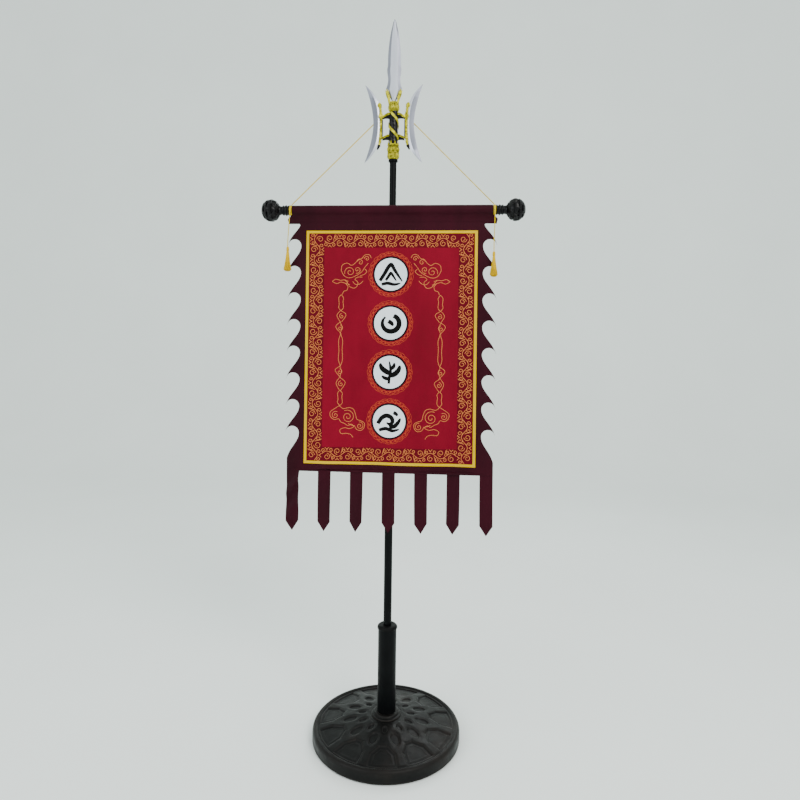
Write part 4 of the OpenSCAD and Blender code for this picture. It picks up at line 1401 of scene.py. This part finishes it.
def make_cup():
    """Lotus cup under the spear blade and its two horns."""
    z0 = COLUMN_TOP
    profile = [(0, z0), (11.2, z0), (13.2, z0 + 2.5), (15.5, z0 + 9), (15.5, z0 + 15), (13.9, z0 + 20),
               (13.4, z0 + 22), (14.6, z0 + 25), (13.2, z0 + 26), (0, z0 + 26)]

    def petals(r, angle, z):
        t = z - z0
        a = abs(((6 * angle / TAU) % 1) - 0.5) * 2
        b = abs(((6 * angle / TAU + 0.5) % 1) - 0.5) * 2
        body = smoothstep(0.5, 3, t) * (1 - smoothstep(19, 22, t))
        front = smoothstep(0.05, 0.28, a - 0.6 * t / 21 + 0.05)
        back = smoothstep(0.05, 0.28, b - 0.9 * t / 21 + 0.35)
        grow = min(1, r / 8)
        return (r - grow * body * (2.6 * (1 - front) * (1 - 0.6 * back))
                + grow * 0.3 * math.cos(36 * angle) * body)

    cup = solid_of_revolution(resample(profile, 0.8), 168, petals)
    gilt("spear_cup_lotus", cup, ["spear_cup"])
    path = [(10.5, -6.7, z0 + 20), (12.4, -7.2, z0 + 28), (14.2, -7.2, z0 + 37), (16.6, -7.2, z0 + 45),
            (18.2, -7.2, z0 + 52), (18.8, -6.9, z0 + 58)]
    widths = [4.0, 3.4, 3.9, 4.7, 4.2, 1.4]
    dense = smooth_path([Vector((x, w, z)) for (x, _, z), w in zip(path, widths)], 6)
    depth = smooth_path([Vector((y, 0, 0)) for _, y, _ in path], 6)
    rail = [(p.x, d.x, p.z) for p, d in zip(dense, depth)]
    last = len(rail) - 1
    horn = tube(rail, lambda t: dense[round(t * last)].y * (1 + 0.12 * math.sin(52 * t)), 14)
    fin = [tube([(rail[i][0] + 2.6 * k, rail[i][1], rail[i][2]),
                 (rail[i][0] + 5.6 * k, rail[i][1] - 0.5, rail[i][2] + 3.4)],
                lambda t: 1.6 - 1.3 * t, 8) for i in (12, 17, 22, 26) for k in (-1, 1)]
    fin += [bead((p[0], p[1] - 3.4, p[2]), 1.5, 1.3) for p in rail[6::4]]
    horn_all = joined([horn] + fin)
    piece("spear_horn_pair", joined([horn_all, mirrored(horn_all)]), "upper_pole_body",
          GILT, ["spear_horns"])


make_gold_collar()
make_column()
make_spiral()
make_arms()
make_brackets()
make_crescents()
make_spear()
make_cup()


# ---------------------------------------------------------------- the base

RELIEF_COUNT = 11
RELIEF_TURN = math.radians(-88)


def off_centre(angle, shift):
    """The angle from the nearest of the evenly spaced centre lines that start at shift."""
    step = TAU / RELIEF_COUNT
    a = (angle - shift) % step
    return min(a, step - a)


def relief(r, angle):
    """Cast relief over the dome: broad soft straps round sunken panels, ovals and small drops."""
    if r < 48 or r > 184:
        return 0.0
    near = off_centre(angle, RELIEF_TURN)
    far = off_centre(angle, RELIEF_TURN + math.pi / RELIEF_COUNT)
    half = 0.08 + 0.13 * min(1.0, max(0.0, (r - 119) / 25))
    panel = min((half - near) * r, r - 119, 179.5 - r)
    oval = (1 - math.hypot((r - 98) / 19, r * math.sin(far) / 11)) * 11
    drop = (1 - math.hypot((r - 67) / 11.5, r * math.sin(near) / 6.5)) * 6.5
    depth = max(panel, oval, drop)
    crown = 1.1 * smoothstep(0, 6.5, -depth) * smoothstep(184, 178, r) * smoothstep(48, 54, r)
    bar = math.exp(-((min(panel - 9, 99) if panel > 0 else 99) / 2.2) ** 2)
    return crown - 3.1 * smoothstep(-0.5, 2.0, depth) + 0.5 * bar


def dome_z(r, rim, hub_z):
    """Height of the base's upper face from the rim's groove up to the hub."""
    points = [(46, hub_z - 0.2), (75, hub_z - 4.5), (110, hub_z - 12), (150, rim + 4.5), (184, rim - 3.5)]
    if r <= points[0][0]:
        return points[0][1]
    for (r0, z0), (r1, z1) in zip(points, points[1:]):
        if r <= r1:
            return z0 + (z1 - z0) * (r - r0) / (r1 - r0)
    return points[-1][1]


HUB_RISE = 24.5


def make_base():
    """Cast base: a rim, a domed top with relief and a hollow underside."""
    low, high = box_mm("base_shell")
    outer_r, foot, hub_z = high[0], low[2], high[2]
    rim = hub_z - HUB_RISE
    under = [(30, hub_z - 6), (46, hub_z - 6), (75, hub_z - 10.5), (110, hub_z - 18), (150, rim - 1.5),
             (180, rim - 10), (195, rim - 11), (195, foot)]
    side = [(outer_r - 0.8, foot), (outer_r, foot + 1.2), (outer_r, rim - 11), (outer_r - 0.6, rim - 7),
            (outer_r - 2.0, rim - 4), (outer_r - 4.5, rim - 1.6), (outer_r - 8, rim - 0.4),
            (outer_r - 11, rim - 0.6), (outer_r - 13.5, rim - 2.0), (outer_r - 15.5, rim - 3.6)]
    top = []
    r = outer_r - 16.5
    while r > 31:
        top.append((r, dome_z(r, rim, hub_z)))
        r -= 1.35
    below = resample(under, 12) + resample(side, 2.5)
    profile = below + top + [(30, hub_z - 0.2)]
    first_top = len(below)
    segments = 720
    verts = []
    for j in range(segments):
        angle = TAU * j / segments
        c, s = math.cos(angle), math.sin(angle)
        for i, (rr, z) in enumerate(profile):
            lift = 0.0
            if i >= first_top and rr < outer_r - 15:
                lift = relief(rr, angle) + 0.25 * noise.noise(Vector((rr * c / 14, rr * s / 14, 1)))
            if rr > outer_r - 3 and z > foot + 4:
                wobble = 0.35 * noise.noise(Vector((c * 9, s * 9, z / 12)))
            else:
                wobble = 0.0
            verts.append(((rr + min(0, wobble)) * c, (rr + min(0, wobble)) * s, z + lift))
    piece("base_casting", outward((verts, lathe_faces(segments, len(profile)))), "base", CAST,
          ["base_shell"], sharp=60)


def make_hub():
    z = box_mm("hub_ring")[0][2]
    profile = [(r, z + h) for r, h in (
        (25.2, 0), (40, 0), (40, 1.6), (39, 3.1), (37, 3.8), (34.6, 4.2), (34, 5.2), (33.6, 7.4),
        (32.2, 8.9), (30.2, 9.8), (28, 10), (25.2, 10))]
    piece("hub_ring_cast", revolve(resample(profile, 1.0), 144), "base", CAST, ["hub_ring"],
          sharp=50)


make_base()
make_hub()


# ---------------------------------------------------------------- CAD nodes that stay, and the stage

KEPT = {
    CONCRETE: ["ballast_core"],
    PLASTIC: ["base_cover", "tube_cap", "pole_foot", "clamp_knob"],
    RUBBER: ["rubber_feet"],
    ZINC: ["cover_screws", "tube_bolts", "tube_nuts", "clamp_stud", "head_stud", "finial_studs"],
    POLE: ["base_tube", "tube_foot_plate", "lower_pole", "upper_pole", "clamp_collar", "pole_top_plug",
           "head_ferrule"],
    NYLON: ["collar_bush", "pole_guide"],
    WOOD: ["cross_bar"]
}


def dress_kept_nodes():
    for mat, names in KEPT.items():
        for name in names:
            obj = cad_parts[name]
            obj.data.materials.clear()
            obj.data.materials.append(mat)


def make_stage():
    """A pale floor that curves up into a backdrop."""
    rings = []
    for i in range(61):
        t = i / 60
        angle = math.pi / 2 * min(1, max(0, (t - 0.35) / 0.3))
        if t < 0.35:
            y, z = -7 + 10 * t / 0.35, 0
        elif t < 0.65:
            y, z = 3 + 1.6 * math.sin(angle), 1.6 * (1 - math.cos(angle))
        else:
            y, z = 4.6, 1.6 + 7 * (t - 0.65) / 0.35
        rings.append([(-9 + 18 * k / 12, y, z) for k in range(13)])
    verts = [p for ring in rings for p in ring]
    faces = [[i * 13 + k, i * 13 + k + 1, (i + 1) * 13 + k + 1, (i + 1) * 13 + k]
             for i in range(60) for k in range(12)]
    mesh = bpy.data.meshes.new("stage")
    mesh.from_pydata(verts, [], faces)
    mesh.polygons.foreach_set("use_smooth", [True] * len(mesh.polygons))
    mesh.materials.append(STAGE)
    obj = bpy.data.objects.new("stage", mesh)
    bpy.context.scene.collection.objects.link(obj)


dress_kept_nodes()
make_stage()
